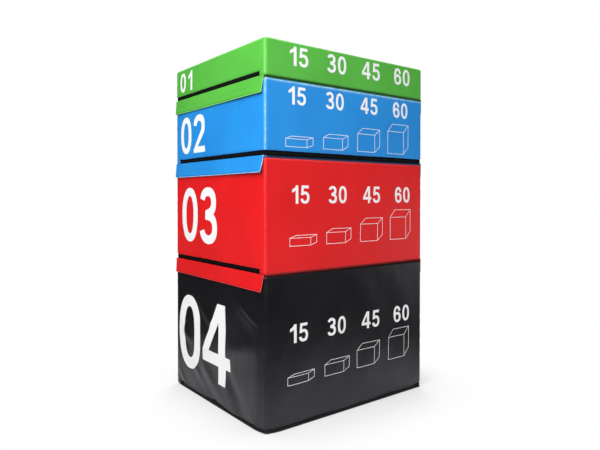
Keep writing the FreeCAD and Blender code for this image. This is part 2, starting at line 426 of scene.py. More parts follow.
class Patchwork:
    """A mesh put together from rectangular grids of points."""

    def __init__(self) -> None:
        """Starts empty."""
        self.points: list[Array] = []
        self.quads: list[Array] = []
        self.marks: list[Array] = []
        self.maps: list[Array] = []
        self.count = 0

    def grid(self, points: Array, marks: Optional[Array] = None, cloth: Optional[Array] = None,
             flip: bool = False) -> None:
        """Adds one grid.

        Args:
            points: Places by column and row.
            marks: How near each point is to a seam or rim painted paler (wear and painted highlight), up
                to 1, or below 0 where shade is painted: sewn channels and the gaps along the bottom.
            cloth: The map of each point, in metres.
            flip: True if the faces look the other way.
        """
        columns, rows = points.shape[:2]
        index = np.arange(columns * rows).reshape(columns, rows) + self.count
        corners = [index[:-1, :-1], index[1:, :-1], index[1:, 1:], index[:-1, 1:]]
        cells = np.stack(corners, axis=-1).reshape(-1, 4)
        self.quads.append(cells[:, ::-1] if flip else cells)
        self.points.append(points.reshape(-1, 3))
        self.marks.append(np.zeros(columns * rows) if marks is None else marks.reshape(-1))
        self.maps.append(np.zeros((columns * rows, 2)) if cloth is None else cloth.reshape(-1, 2))
        self.count += columns * rows

    def piece(self, name: str, material: Material, weld: float = WELD) -> Piece:
        """Makes the object.

        Args:
            name: The piece's name.
            material: Its finish.
            weld: Points nearer than this become one; 0 keeps them all.

        Returns:
            The linked object, smooth, with its seam mark and map.
        """
        mesh = bpy.data.meshes.new(name)
        quads = np.vstack(self.quads)
        mesh.from_pydata(np.vstack(self.points).tolist(), [], quads.tolist())
        marks = mesh.attributes.new("seam", "FLOAT", "POINT")
        marks.data.foreach_set("value", np.concatenate(self.marks).astype(np.float32))
        layer = mesh.uv_layers.new(name="cloth")
        corners = np.vstack(self.maps)[quads.reshape(-1)]
        layer.data.foreach_set("uv", corners.astype(np.float32).reshape(-1))
        if weld:
            edit_mesh(mesh, weld_points, weld)
        return link_piece(name, mesh, material)


def edit_mesh(mesh: bpy.types.Mesh, change: Callable[..., None], *values: float) -> None:
    """Runs one change on a mesh in edit form.

    Args:
        mesh: The mesh.
        change: What to do with its edit form.
        values: Further values for the change.
    """
    work = bmesh.new()
    work.from_mesh(mesh)
    change(work, *values)
    work.to_mesh(mesh)
    work.free()


def weld_points(work: EditMesh, distance: float) -> None:
    """Merges points that meet and drops the faces that this leaves without area.

    Args:
        work: The mesh in edit form.
        distance: Points nearer than this become one.
    """
    bmesh.ops.remove_doubles(work, verts=work.verts, dist=distance)
    bmesh.ops.dissolve_degenerate(work, dist=distance / 4, edges=work.edges)
    loose = [vertex for vertex in work.verts if not vertex.link_faces]
    bmesh.ops.delete(work, geom=loose, context="VERTS")


def close_ends(work: EditMesh) -> None:
    """Fills the open ends of a mesh."""
    bmesh.ops.holes_fill(work, edges=work.edges, sides=0)


def close_outward(work: EditMesh) -> None:
    """Fills open ends and turns every face outwards."""
    close_ends(work)
    bmesh.ops.recalc_face_normals(work, faces=work.faces)


def into_scene(made: Piece) -> Piece:
    """Puts an object into the scene."""
    bpy.context.scene.collection.objects.link(made)
    return made


def link_piece(name: str, mesh: bpy.types.Mesh, material: Material) -> Piece:
    """Puts a mesh into the scene, smooth up to sharp corners.

    Args:
        name: The piece's name.
        mesh: Its mesh.
        material: Its finish.

    Returns:
        The new object.
    """
    mesh.materials.clear()
    mesh.materials.append(material)
    mesh.shade_smooth()
    mesh.set_sharp_from_angle(angle=SHARP)
    return into_scene(bpy.data.objects.new(name, mesh))


def bake_modifiers(piece: Piece) -> None:
    """Turns what the modifiers show into the piece's own plain mesh.

    Args:
        piece: The piece.
    """
    graph = bpy.context.evaluated_depsgraph_get()
    mesh = bpy.data.meshes.new_from_object(piece.evaluated_get(graph))
    piece.modifiers.clear()
    old, piece.data = piece.data, mesh
    mesh.name = piece.name
    bpy.data.meshes.remove(old)


def thicken(piece: Piece, thickness: float) -> None:
    """Gives a sheet its thickness, inwards from its shown face.

    Args:
        piece: The sheet.
        thickness: How thick, in metres.
    """
    wall = piece.modifiers.new("thickness", "SOLIDIFY")
    wall.thickness = thickness
    wall.offset = -1.0
    bake_modifiers(piece)
    piece.data.set_sharp_from_angle(angle=SHARP)


def settle(piece: Piece, body: str, nodes: Sequence[str] = ()) -> None:
    """Hands a finished piece to the frame.

    Args:
        piece: The piece, with its place in its mesh.
        body: The body that it rides on.
        nodes: The solids that it stands for.
    """
    if body in PRESSES:
        PRESSES[body].shape(piece.data)
    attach(piece, body)
    if nodes:
        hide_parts(*nodes)
    piece.data.calc_loop_triangles()
    log.info("%s rides on %s, %d triangles", piece.name, body, len(piece.data.loop_triangles))


def ripple(across: Array, up: Array, length: float, seed: int) -> Array:
    """Smooth uneven waves over a surface.

    Args:
        across: One coordinate, in metres.
        up: The other coordinate.
        length: The middle wavelength.
        seed: Fixes the waves' directions and starts.

    Returns:
        Heights of about -1 to 1.
    """
    draw = np.random.default_rng(seed)
    total = np.zeros(np.broadcast(across, up).shape)
    for angle, stretch, start in draw.uniform((0, 0.6, 0), (math.pi, 1.8, TURN), (WAVES, 3)):
        run = across * math.cos(angle) + up * math.sin(angle)
        total += np.sin(run * TURN / (length * stretch) + start)
    return total / WAVE_SHARE


def ease(value: Array, low: float, high: float) -> Array:
    """0 below low, 1 above high and a smooth step between."""
    share = np.clip((value - low) / (high - low), 0, 1)
    return share * share * (3 - 2 * share)


def bell(value: Array, width: float) -> Array:
    """1 where the value is 0, falling away on both sides over the width."""
    return np.exp(-(value / width) ** 2)


def crossed(columns: Array, rows: Array) -> list[Array]:
    """Every column with every row, as two grids."""
    return np.meshgrid(columns, rows, indexing="ij")


def undipped(places: Array) -> Array:
    """Pairs of place and dip, with no dip."""
    return np.column_stack([places, np.zeros_like(places)])


def lengths(points: Array) -> Array:
    """How far along its line each point is."""
    return np.concatenate([[0], np.cumsum(np.linalg.norm(np.diff(points, axis=0), axis=1))])


def rolled_edge(radius: float, flange: float, gap: float, count: int = 5) -> Array:
    """Where a sheet turns in at a seam.

    Args:
        radius: The turn's radius.
        flange: The depth of the seam allowance behind it.
        gap: Room between the edge and the seam's own line.
        count: Points round the turn.

    Returns:
        Pairs of distance from the seam and dip, from the seam inwards.
    """
    turns = np.linspace(QUARTER, 0, count)
    distance = gap + radius * (1 - np.sin(turns))
    dip = radius * (1 - np.cos(turns))
    return np.column_stack([np.append(gap, distance), np.append(radius + flange, dip)])


def spaced(start: float, end: float, step: float, fixed: Sequence[float] = ()) -> Array:
    """Even stations from start to end, with the fixed ones in place of any too near them.

    Args:
        start: The first station.
        end: The last one.
        step: About how far apart.
        fixed: Stations that have to be there.

    Returns:
        The stations in order.
    """
    even = np.linspace(start, end, max(2, round((end - start) / step) + 1))
    clear = [value for value in even if all(abs(value - other) > step * 0.35 for other in fixed)]
    return np.array(sorted([*clear, *fixed]))


@dataclass(frozen=True)
class CornerPress:
    """How far a soft box's near corner is pushed in, the same for all its pieces, in metres."""

    corner: Point
    top: float
    depth: float
    spread: float = 0.043
    fade: float = 0.08

    def shape(self, mesh: bpy.types.Mesh) -> None:
        """Moves the points of a mesh that are near the corner, less so towards the top.

        Args:
            mesh: The mesh of a piece in its place.
        """
        places = np.empty(3 * len(mesh.vertices), dtype=np.float32)
        mesh.vertices.foreach_get("co", places)
        places = places.reshape(-1, 3)
        off = (places[:, :2] - self.corner) / self.spread
        push = self.depth * np.exp(-(off ** 2).sum(axis=1))
        push = push * ease(self.top - places[:, 2], 0.0, self.fade)
        places[:, :2] += (push * DIAGONAL)[:, None]
        mesh.vertices.foreach_set("co", places.reshape(-1))
        mesh.update()


@dataclass(frozen=True)
class CoverSizes:
    """How a cover is cut and sewn, in metres."""

    corner: float = 0.014
    top_edge: float = 0.008
    fold_edge: float = 0.011
    hem_edge: float = 0.0052
    hem: float = 0.007
    opening: float = 0.020
    hem_lip: float = 0.0018
    wall_lip: float = 0.0045
    lip_tuck: float = 0.002
    droop: float = 0.0
    droop_fade: float = 0.06
    droop_end: float = 0.07
    left_inset: float = 0.036
    right_inset: float = 0.020
    tab_dip: float = 0.004
    tab_turn: float = 0.0021
    vinyl: float = 0.001
    seam_roll: float = 0.0022
    hem_roll: float = 0.0012
    flange: float = 0.003
    seam_gap: float = 0.0001
    # Widths and strength of painted marks: seams paler from wear and painted highlight, a painted
    # highlight along the top rim, and painted shade at the foot of seamed walls and at the base rim.
    edge_wear_and_light: float = 0.0018
    rim_rub: float = 0.0025
    rim_row: float = 0.0035
    foot_shade_reach: float = 0.0075
    soil: float = 2.2
    step: float = 0.009
    level_stretch: float = 1.6
    foot_step: float = 0.005
    foot_gap: float = 0.003
    tab_cuts: tuple[float, ...] = (0.0, 0.0006, 0.002)

    def zip_inset(self, side: Side) -> float:
        """How far from the corner the zip stops on one end wall."""
        return self.left_inset if side is Side.LEFT else self.right_inset

    def seam_border(self, radius: float, count: int) -> Array:
        """Pairs of distance and dip from a seam, round a turn of that radius, to the flat."""
        seam = rolled_edge(self.seam_roll, self.flange, self.seam_gap)
        return np.vstack([seam, undipped(np.linspace(seam[-1, 0], radius * EIGHTH, count)[1:])])


@dataclass(frozen=True)
class Crease:
    """One fold line on a wall, between places right of its middle and above the box's floor."""

    start: Point
    end: Point
    height: float
    width: float
    bow: float = 0.03
    rise: Span = (-0.25, 0.3)
    fall: Span = (0.65, 1.2)
    trough: float = 0.6
    trough_off: float = 1.5
    trough_width: float = 1.3

    def relief(self, across: Array, up: Array) -> Array:
        """How far the fold lifts each point.

        Args:
            across: Places right of the wall's middle.
            up: Heights above the box's floor.

        Returns:
            Heights off the sheet.
        """
        first, last = np.array(self.start), np.array(self.end)
        length = np.linalg.norm(last - first)
        way = (last - first) / length
        run = (across - first[0]) * way[0] + (up - first[1]) * way[1]
        off = (up - first[1]) * way[0] - (across - first[0]) * way[1]
        share = np.clip(run / length, 0, 1)
        lean = (off + self.bow * length * np.sin(math.pi * share)) / self.width
        rise, fall = (ease(run, low * length, high * length) for low, high in (self.rise, self.fall))
        trough = self.trough * bell(lean + self.trough_off, self.trough_width)
        return self.height * (rise * (1 - fall)) * (bell(lean, 1.0) - trough)


@dataclass(frozen=True)
class Slack:
    """How a cover departs from the flat block inside it, in metres."""

    crown: float = 0.0014
    rim: float = 0.06
    swell: float = 0.0005
    swell_length: float = 0.21
    ruffle: float = 0.00012
    ruffle_length: float = 0.05
    taped: tuple[float, float, float, float] = (0.004, 0.014, 0.062, 0.085)
    pressed: float = 0.9
    pucker: float = 0.00035
    side_gather: Span = (0.011, 0.03)
    top_gather: Span = (0.011, 0.034)
    low_gather: Span = (0.013, 0.028)
    tug: float = 0.0008
    tug_spread: Span = (0.02, 0.022)
    tug_length: float = 0.02
    blunt: float = 0.0
    blunt_spread: float = 0.044
    blunt_low: Span = (0.028, 0.09)
    blunt_high: Span = (0.0, 0.08)
    top_crown: float = -0.0004
    seed: int = 1
    creases: dict[Side, tuple[Crease, ...]] = field(default_factory=dict)


@dataclass(frozen=True)
class Block:
    """Where one box stands, read from the frame, in metres."""

    name: str
    half_width: float
    half_depth: float
    floor: float
    top: float
    fold: int
    has_flaps: bool
    has_loops: bool

    @classmethod
    def read(cls, name: str) -> "Block":
        """Reads a box from its solids; fold is 1 if the back has no zip, -1 if the front has none.

        Args:
            name: The box's word in names.

        Returns:
            The box.
        """
        low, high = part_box(f"{name}_base_panel")
        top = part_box(f"{name}_top_panel")[1].z
        depth = max(-low.y, high.y)
        fold = 1 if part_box(f"{name}_zip_slider")[0].y > 0 else -1
        flaps, loops = (f"{name}_{word}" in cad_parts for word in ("left_flap", "loop_strips"))
        return cls(name, high.x, depth, low.z, top, fold, flaps, loops)

    @property
    def body(self) -> str:
        """The body of the box."""
        return f"{self.name}_box"

    @property
    def fold_side(self) -> Side:
        """The wall without a zip."""
        return Side.BACK if self.fold > 0 else Side.FRONT


@dataclass(frozen=True)
class LowEdge:
    """How a wall's lower edge turns: from this height, on this radius, through this angle."""

    start: float
    radius: float
    angle: float

    @property
    def end(self) -> float:
        """The lowest station, measured along the sheet."""
        return self.start - self.radius * self.angle


@dataclass(frozen=True)
class Wall:
    """One side panel of a cover."""

    block: Block
    side: Side
    sizes: CoverSizes
    slack: Slack

    @property
    def half(self) -> float:
        """Half the wall's width between the other two walls' planes."""
        return self.block.half_depth if self.side.is_end else self.block.half_width

    @property
    def out(self) -> float:
        """From the box's middle to the wall's plane."""
        return self.block.half_width if self.side.is_end else self.block.half_depth

    @property
    def reach(self) -> float:
        """From the wall's middle line to its corner seams, along the sheet."""
        return self.half - self.sizes.corner + self.sizes.corner * EIGHTH

    @property
    def top_line(self) -> float:
        """The top seam, along the sheet."""
        return self.block.top - self.sizes.top_edge + self.sizes.top_edge * EIGHTH

    @property
    def zip_edge(self) -> LowEdge:
        """The lip over the zip."""
        start = self.block.floor + self.sizes.hem + self.sizes.opening + self.sizes.wall_lip
        return LowEdge(start, self.sizes.wall_lip, QUARTER)

    @property
    def seam_edge(self) -> LowEdge:
        """The bottom seam where there is no zip."""
        return LowEdge(self.block.floor + self.sizes.fold_edge, self.sizes.fold_edge, EIGHTH)

    @property
    def tab(self) -> int:
        """The end of the wall that has no zip: 1 right, -1 left, 0 neither."""
        return int(round(self.block.fold * self.side.along[1]))

    @property
    def zip_end(self) -> float:
        """Where the zip stops, right of the middle."""
        return self.tab * (self.half - self.sizes.zip_inset(self.side))

    def edge(self) -> LowEdge:
        """The lower edge that most of the wall has."""
        return self.seam_edge if self.side is self.block.fold_side else self.zip_edge

    def droop(self, across: Array) -> Array:
        """How far the lip hangs over the zip on the near sides, easing off at their far ends.

        Args:
            across: Places along the sheet.

        Returns:
            Drops in metres.
        """
        sizes = self.sizes
        if self.side is Side.LEFT:
            return sizes.droop * ease(self.tab * (self.zip_end - across), 0.0, sizes.droop_fade)
        if self.side is Side.FRONT:
            return sizes.droop * ease(self.reach - across, 0.0, sizes.droop_end)
        return np.zeros_like(across)

    def surface(self, across: Array, up: Array, edge: LowEdge) -> tuple[Array, Array]:
        """The sheet before it slackens.

        Args:
            across: Places along the sheet, right of the middle.
            up: Places along the sheet, as heights.
            edge: The lower edge.

        Returns:
            Points and the ways out of the sheet.
        """
        flat = self.half - self.sizes.corner
        turn = np.clip((np.abs(across) - flat) / self.sizes.corner, 0, None) * np.sign(across)
        over = np.clip((up - self.block.top + self.sizes.top_edge) / self.sizes.top_edge, 0, None)
        under = np.clip((edge.start - up) / edge.radius, 0, None)
        height = np.where(over > 0, self.block.top - self.sizes.top_edge * (1 - np.sin(over)), up)
        height = np.where(under > 0, edge.start - edge.radius * np.sin(under), height)
        height = height - self.droop(across) * (1 - ease(up - edge.start, 0.0, self.sizes.droop_fade))
        draw_in = self.sizes.top_edge * (1 - np.cos(over)) + edge.radius * (1 - np.cos(under))
        level = np.cos(turn)[..., None] * self.side.normal + np.sin(turn)[..., None] * self.side.along
        points = self.side.normal * (self.out - self.sizes.corner) + height[..., None] * UP
        points = points + np.clip(across, -flat, flat)[..., None] * self.side.along
        points = points + (self.sizes.corner - draw_in)[..., None] * level
        tilt = over - under
        return points, np.cos(tilt)[..., None] * level + np.sin(tilt)[..., None] * UP

    @property
    def seed(self) -> int:
        """The first of the wall's seeds."""
        return self.slack.seed * 10 + list(Side).index(self.side)

    def relief(self, across: Array, up: Array) -> Array:
        """How far the slack sheet stands out from the flat one.

        Args:
            across: Places along the sheet, right of the middle.
            up: Places along the sheet, as heights.

        Returns:
            Heights off the flat sheet.
        """
        slack, seed = self.slack, self.seed
        middle = (self.edge().end + self.top_line) / 2
        share = (up - middle) / (self.top_line - middle)
        height = slack.crown * (1 - (across / self.reach) ** 2) * np.clip(1 - share ** 2, 0, None)
        rim = ease(np.minimum(self.reach - np.abs(across), self.top_line - up), 0.0, slack.rim)
        height = height + slack.swell * ripple(across, up, slack.swell_length, seed) * rim
        height = height + slack.ruffle * ripple(across, up, slack.ruffle_length, seed + 1)
        for crease in slack.creases.get(self.side, ()):
            height = height + crease.relief(across, up - self.block.floor)
        below = self.block.top - up
        if self.side.is_end and self.block.has_loops:
            taped = ease(below, *slack.taped[:2]) * (1 - ease(below, *slack.taped[2:]))
            height = height * (1 - slack.pressed * taped)
        clear = ease(up - self.block.floor, *slack.blunt_low) * ease(below, *slack.blunt_high)
        near = NEAR_ENDS[self.side]
        blunt = slack.blunt * bell(self.reach - near * across, slack.blunt_spread) * clear * abs(near)
        height = height - blunt
        if self.tab and self.side is Side.LEFT:
            height = height + self.zip_tug(across, up)
        return height + slack.pucker * self.gathers(across, up)

    def zip_tug(self, across: Array, up: Array) -> Array:
        """How the sheet is drawn up round the end of the zip.

        Args:
            across: Places along the sheet.
            up: Their heights.

        Returns:
            Heights off the sheet.
        """
        slack = self.slack
        high = up - self.block.floor - self.sizes.opening
        off = ((across - self.zip_end) / slack.tug_spread[0]) ** 2 + (high / slack.tug_spread[1]) ** 2
        return slack.tug * np.exp(-off) * (ripple(across, up, slack.tug_length, self.seed + 5) - 0.5)

    def gathers(self, across: Array, up: Array) -> Array:
        """Puckers beside the seams and the lower edge, from about -1 to 1.

        Args:
            across: Places along the sheet.
            up: Their heights.

        Returns:
            The puckers' shares.
        """
        borders = (
            (self.reach - np.abs(across), up, across, self.slack.side_gather),
            (self.top_line - up, across, up, self.slack.top_gather),
            (np.abs(up - self.edge().end), across, up, self.slack.low_gather),
        )
        total = np.zeros(np.broadcast(across, up).shape)
        for number, (gap, run, off, (fade, length)) in enumerate(borders):
            total = total + np.exp(-gap / fade) * ripple(run, off * 0.1, length, self.seed + 2 + number)
        return total

    def place(self, across: Array, up: Array, lift: float = 0.0) -> Array:
        """Points on the slack sheet, or that far above it."""
        points, ways = self.surface(across, up, self.edge())
        return points + ways * (self.relief(across, up) + lift)[..., None]

    def columns(self) -> Array:
        """Pairs of place and dip from the left seam to the right one.

        Returns:
            The pairs.
        """
        sizes = self.sizes
        border = sizes.seam_border(sizes.corner, 5)
        flat = self.half - sizes.corner
        fixed = [self.zip_end + self.tab * way for way in sizes.tab_cuts] if self.tab else []
        middle = spaced(-flat, flat, sizes.step, fixed)[1:-1]
        left = border * (1, 1) - (self.reach, 0)
        right = (border * (-1, 1) + (self.reach, 0))[::-1]
        return np.vstack([left, undipped(middle), right])

    def upper_rows(self, start: float) -> Array:
        """Pairs of height and dip from a level up to the top seam.

        Args:
            start: The level.

        Returns:
            The pairs.
        """
        sizes = self.sizes
        border = sizes.seam_border(sizes.top_edge, 4)
        border = (border * (-1, 1) + (self.top_line, 0))[::-1]
        level = self.block.top - sizes.top_edge
        middle = spaced(start, level, sizes.step, [level - sizes.rim_row])[:-1]
        return np.vstack([undipped(middle), border])

    def seam_rows(self, end: float) -> Array:
        """Pairs of height and dip from the bottom seam up to a level.

        Args:
            end: The level.

        Returns:
            The pairs.
        """
        sizes, edge = self.sizes, self.seam_edge
        seam = rolled_edge(sizes.hem_roll, sizes.flange, sizes.seam_gap) + (edge.end, 0)
        rest = np.append(edge.start, spaced(edge.start + sizes.foot_gap, end, sizes.foot_step))
        return np.vstack([seam, undipped(rest)])

    def lip_rows(self) -> Array:
        """Pairs of height and dip round the lip over the zip, from its hidden end up."""
        heights = self.zip_edge.start - self.zip_edge.radius * np.linspace(QUARTER, 0, 7)
        return np.vstack([[heights[0], self.sizes.lip_tuck], undipped(heights)])

    def add(self, work: Patchwork, columns: Array, rows: Array, edge: LowEdge,
            tab: bool = False) -> None:
        """Adds one part of the wall.

        Args:
            work: The mesh under construction.
            columns: Pairs of place and dip.
            rows: Pairs of height and dip.
            edge: The lower edge of this part.
            tab: True for the part past the zip's end.
        """
        across, up = crossed(columns[:, 0], rows[:, 0])
        dip = np.maximum(*crossed(columns[:, 1], rows[:, 1]))
        if tab:
            dip = np.maximum(dip, self.tab_turn(across, up))
        points, ways = self.surface(across, up, edge)
        points = points + ways * (self.relief(across, up) - dip)[..., None]
        sizes = self.sizes
        # The top rim and the corner seams are painted paler (painted highlight, with wear); the foot of a
        # seamed wall is painted near black, painted shade where it meets the box below.
        rim = ((self.top_line - up) / sizes.rim_rub) ** 2
        worn = np.exp(-np.minimum((self.reach - np.abs(across)) / sizes.edge_wear_and_light, rim))
        low = np.clip(up - edge.end, 0, None) if edge == self.seam_edge else np.ones_like(up)
        work.grid(points, worn - sizes.soil * bell(low, sizes.foot_shade_reach))

    def build(self) -> Patchwork:
        """Puts the main sheet, the lip over the zip and the plain tab beside it together.

        Returns:
            The mesh under construction.
        """
        work = Patchwork()
        columns = self.columns()
        split = self.zip_edge.start
        if self.side is self.block.fold_side:
            rows = np.vstack([self.seam_rows(split), self.upper_rows(split)[1:]])
            self.add(work, columns, rows, self.seam_edge)
            return work
        self.add(work, columns, self.upper_rows(split), self.zip_edge)
        inside = self.tab * (columns[:, 0] - self.zip_end)
        self.add(work, columns[inside < NEAR], self.lip_rows(), self.zip_edge)
        if self.tab:
            self.add(work, columns[inside > -NEAR], self.seam_rows(split), self.seam_edge, tab=True)
        return work

    def tab_turn(self, across: Array, up: Array) -> Array:
        """The dip of the tab's cut edge at the zip's end.

        Args:
            across: Places along the sheet.
            up: Their heights.

        Returns:
            Dips in metres.
        """
        sizes = self.sizes
        inside = self.tab * (across - self.zip_end)
        turn = sizes.tab_dip * (1 - ease(inside, 0.0, sizes.tab_turn))
        top = self.block.floor + sizes.hem + sizes.opening
        return turn * (1 - ease(up, top, self.zip_edge.start))


class EdgeProfile(NamedTuple):
    """A panel's border: how far out and how high each station is, how it faces and how it dips."""

    out: Array
    height: Array
    tilt: Array
    dip: Array


@dataclass(frozen=True)
class LevelPanel:
    """The top or the base of a cover, a rounded rectangle with a turned border."""

    block: Block
    sizes: CoverSizes
    slack: Slack
    is_top: bool
    inner: Span = (0.004, 0.12)
    sink: float = 0.0003
    loose: float = 0.4
    swell_length: float = 0.24
    gather: Span = (0.014, 0.04)
    gather_share: float = 0.6

    def top_profile(self) -> EdgeProfile:
        """From the flat of the top, over its rounded edge, to the seam.

        Returns:
            The border.
        """
        sizes = self.sizes
        flat = sizes.corner - sizes.top_edge
        length = flat + sizes.top_edge * EIGHTH
        seam = rolled_edge(sizes.seam_roll, sizes.flange, sizes.seam_gap)[::-1]
        over = np.append(np.linspace(0, flat, 4), (flat + 0.0015, flat + 0.003))
        run = np.concatenate([over, length - seam[:, 0]])
        dip = np.concatenate([np.zeros_like(over), seam[:, 1]])
        tilt = np.clip((run - flat) / sizes.top_edge, 0, None)
        out = np.minimum(run, flat) + sizes.top_edge * np.sin(tilt)
        height = self.block.top - sizes.top_edge * (1 - np.cos(tilt))
        return EdgeProfile(out, height, tilt, dip)

    def base_profile(self, zipped: bool) -> EdgeProfile:
        """From the flat of the base to the lip under the zip, or to the bottom seam.

        Args:
            zipped: True for the lip.

        Returns:
            The border.
        """
        sizes = self.sizes
        radius = sizes.hem_edge if zipped else sizes.fold_edge
        flat = sizes.corner - radius
        wall = sizes.hem - sizes.hem_edge - sizes.hem_lip
        bends = flat + radius * np.linspace(0, QUARTER, 9)
        lip = bends[-1] + wall + sizes.hem_lip * np.linspace(0, QUARTER, 7)
        run = np.concatenate([np.linspace(0, flat, 4)[:-1], bends, lip, [lip[-1]]])
        dip = np.zeros_like(run)
        dip[-1] = sizes.lip_tuck
        if not zipped:
            seam = flat + radius * EIGHTH - sizes.seam_gap
            short = np.clip(run - seam, 0, None)
            run = np.minimum(run, seam)
            lean = np.clip(1 - (seam - run) / sizes.hem_roll, 0, 1)
            dip = sizes.hem_roll * (1 - np.sqrt(1 - lean ** 2))
            dip = dip + np.where(short > 0, sizes.flange, 0)
        first = np.clip((run - flat) / radius, 0, QUARTER)
        second = np.clip((run - bends[-1] - wall) / sizes.hem_lip, 0, QUARTER)
        climb = np.clip(run - bends[-1], 0, wall)
        out = np.minimum(run, flat) + radius * np.sin(first) - sizes.hem_lip * (1 - np.cos(second))
        height = radius * (1 - np.cos(first)) + climb + sizes.hem_lip * np.sin(second)
        return EdgeProfile(out, self.block.floor + height, first + second, dip)

    def stations(self, half: float, fixed: Sequence[float], count: int) -> tuple[Array, Array]:
        """Places across the panel.

        Args:
            half: Half the panel's size this way.
            fixed: Places that have to be there.
            count: Stations in the border.

        Returns:
            Places over the flat, repeated at the borders, and signed border numbers, 0 on the flat.
        """
        flat = half - self.sizes.corner
        middle = spaced(-flat, flat, self.sizes.step * self.sizes.level_stretch, fixed)
        ring = np.arange(1, count)
        places = np.concatenate([np.full(count - 1, -flat), middle, np.full(count - 1, flat)])
        return places, np.concatenate([-ring[::-1], np.zeros(len(middle), int), ring])

    def build(self) -> Patchwork:
        """Makes the panel.

        Returns:
            The mesh under construction.
        """
        block, sizes = self.block, self.sizes
        seamed = self.top_profile() if self.is_top else self.base_profile(False)
        zipped = seamed if self.is_top else self.base_profile(True)
        count = len(seamed.out)
        insets = (sizes.zip_inset(side) for side in END_WALLS)
        lines = [block.fold * (block.half_depth - inset) for inset in insets]
        cuts = sorted(line - block.fold * back for line in lines for back in (0.0, 0.001))
        wide, wide_ring = self.stations(block.half_width, (), count)
        deep, deep_ring = self.stations(block.half_depth, () if self.is_top else cuts, count)
        x, y = crossed(wide, deep)
        ring_x, ring_y = crossed(wide_ring, deep_ring)
        far_x, far_y = np.abs(ring_x), np.abs(ring_y)
        ring = np.maximum(far_x, far_y)
        least = np.minimum(far_x, far_y) / np.maximum(ring, 1)
        angle = np.where(far_x >= far_y, EIGHTH * least, QUARTER - EIGHTH * least)
        level = [np.sign(ring_x) * np.cos(angle), np.sign(ring_y) * np.sin(angle), 0 * angle]
        level = np.stack(level, axis=-1)
        has_zip = (y - np.where(x < 0, *lines)) * block.fold < -1e-6
        pairs = zip(zipped, seamed)
        out, height, tilt, dip = (np.where(has_zip, first[ring], last[ring]) for first, last in pairs)
        face = 1.0 if self.is_top else -1.0
        ways = np.sin(tilt)[..., None] * level + face * np.cos(tilt)[..., None] * UP
        points = np.stack([x, y, height], axis=-1) + out[..., None] * level
        points = points + ways * (self.relief(points) - dip)[..., None]
        work = Patchwork()
        # The top's rim is painted paler (painted highlight, with wear); the base's rim is painted near
        # black, painted shade in the gap on the box below.
        marks = np.exp(-np.clip(self.rim(points), 0, None) / (2 * sizes.edge_wear_and_light))
        work.grid(points, marks if self.is_top else -2 * marks, flip=not self.is_top)
        return work

    def relief(self, points: Array) -> Array:
        """How far the slack panel stands out from the flat one.

        Args:
            points: Places on the flat panel.

        Returns:
            Heights off it.
        """
        rim, (x, y) = self.rim(points), (points[..., 0], points[..., 1])
        inner = ease(rim, *self.inner)
        if not self.is_top:
            return -self.sink * inner
        seed = self.slack.seed * 10 + 7
        loose = max(self.slack.top_crown, 0.0) * self.loose
        height = (self.slack.top_crown + loose * ripple(x, y, self.swell_length, seed)) * inner
        fade, length = self.gather
        gathered = np.exp(-np.abs(rim) / fade) * ripple(x, y, length, seed + 1)
        return height + self.slack.pucker * self.gather_share * gathered

    def rim(self, points: Array) -> Array:
        """How far each point is from the nearest wall's plane."""
        deep = self.block.half_depth - np.abs(points[..., 1])
        return np.minimum(self.block.half_width - np.abs(points[..., 0]), deep)


class NodeTool(Graph):
    """A Geometry Nodes tree with named inputs, which ends in realised shapes with a material."""

    def __init__(self, name: str, sizes: dict[str, str]) -> None:
        """Makes the tree.

        Args:
            name: The tree's name.
            sizes: The kind of socket for each named input.
        """
        super().__init__(bpy.data.node_groups.new(name, "GeometryNodeTree"))
        sockets = self.tree.interface
        sockets.new_socket("Geometry", in_out="OUTPUT", socket_type="NodeSocketGeometry")
        kinds = {"Geometry": "NodeSocketGeometry", **sizes, "Finish": "NodeSocketMaterial"}
        self.names = {key: sockets.new_socket(key, in_out="INPUT", socket_type=kind).identifier
                      for key, kind in kinds.items()}
        self.source = self.tree.nodes.new("NodeGroupInput")

    def value(self, name: str) -> Sock:
        """One named input."""
        return Sock(self, self.source.outputs[name])

    def end(self, shapes: Sock) -> None:
        """Realises the shapes, paints them and ends the tree.

        Args:
            shapes: The instances.
        """
        real = self.node("GeometryNodeRealizeInstances", inputs={"Geometry": shapes})
        inputs = {"Geometry": real, "Material": self.value("Finish")}
        painted = self.node("GeometryNodeSetMaterial", inputs=inputs)
        self.node("NodeGroupOutput", inputs={"Geometry": painted})

    def points(self, pitch: Sock) -> Sock:
        """Even points along the lines of the input mesh.

        Args:
            pitch: How far apart.

        Returns:
            The points, as curves.
        """
        lines = self.node("GeometryNodeMeshToCurve", inputs={"Mesh": self.value("Geometry")})
        inputs = {"Curve": lines, "Length": pitch}
        return self.node("GeometryNodeResampleCurve", {"mode": "LENGTH"}, inputs)

    def turn(self, pivot: str) -> Sock:
        """The turn that points a shape along its line."""
        inputs = {"Vector": self.node("GeometryNodeInputTangent")}
        return self.node("FunctionNodeAlignRotationToVector", {"axis": "X", "pivot_axis": pivot}, inputs)

    def run(self, name: str, lines: Iterable[Array], finish: Material, **sizes: object) -> Piece:
        """Makes a piece along some lines.

        Args:
            name: The piece's name.
            lines: Points of each line, in metres.
            finish: The piece's material.
            sizes: The tree's named inputs.

        Returns:
            The piece, as a plain mesh.
        """
        points, edges = [], []
        for line in lines:
            first = len(points)
            points.extend(line.tolist())
            edges.extend((first + i, first + i + 1) for i in range(len(line) - 1))
        mesh = bpy.data.meshes.new(name)
        mesh.from_pydata(points, edges, [])
        made = into_scene(bpy.data.objects.new(name, mesh))
        tool = made.modifiers.new("shapes", "NODES")
        tool.node_group = self.tree
        for key, value in {**sizes, "Finish": finish}.items():
            tool[self.names[key]] = value
        bake_modifiers(made)
        made.data.shade_smooth()
        return made


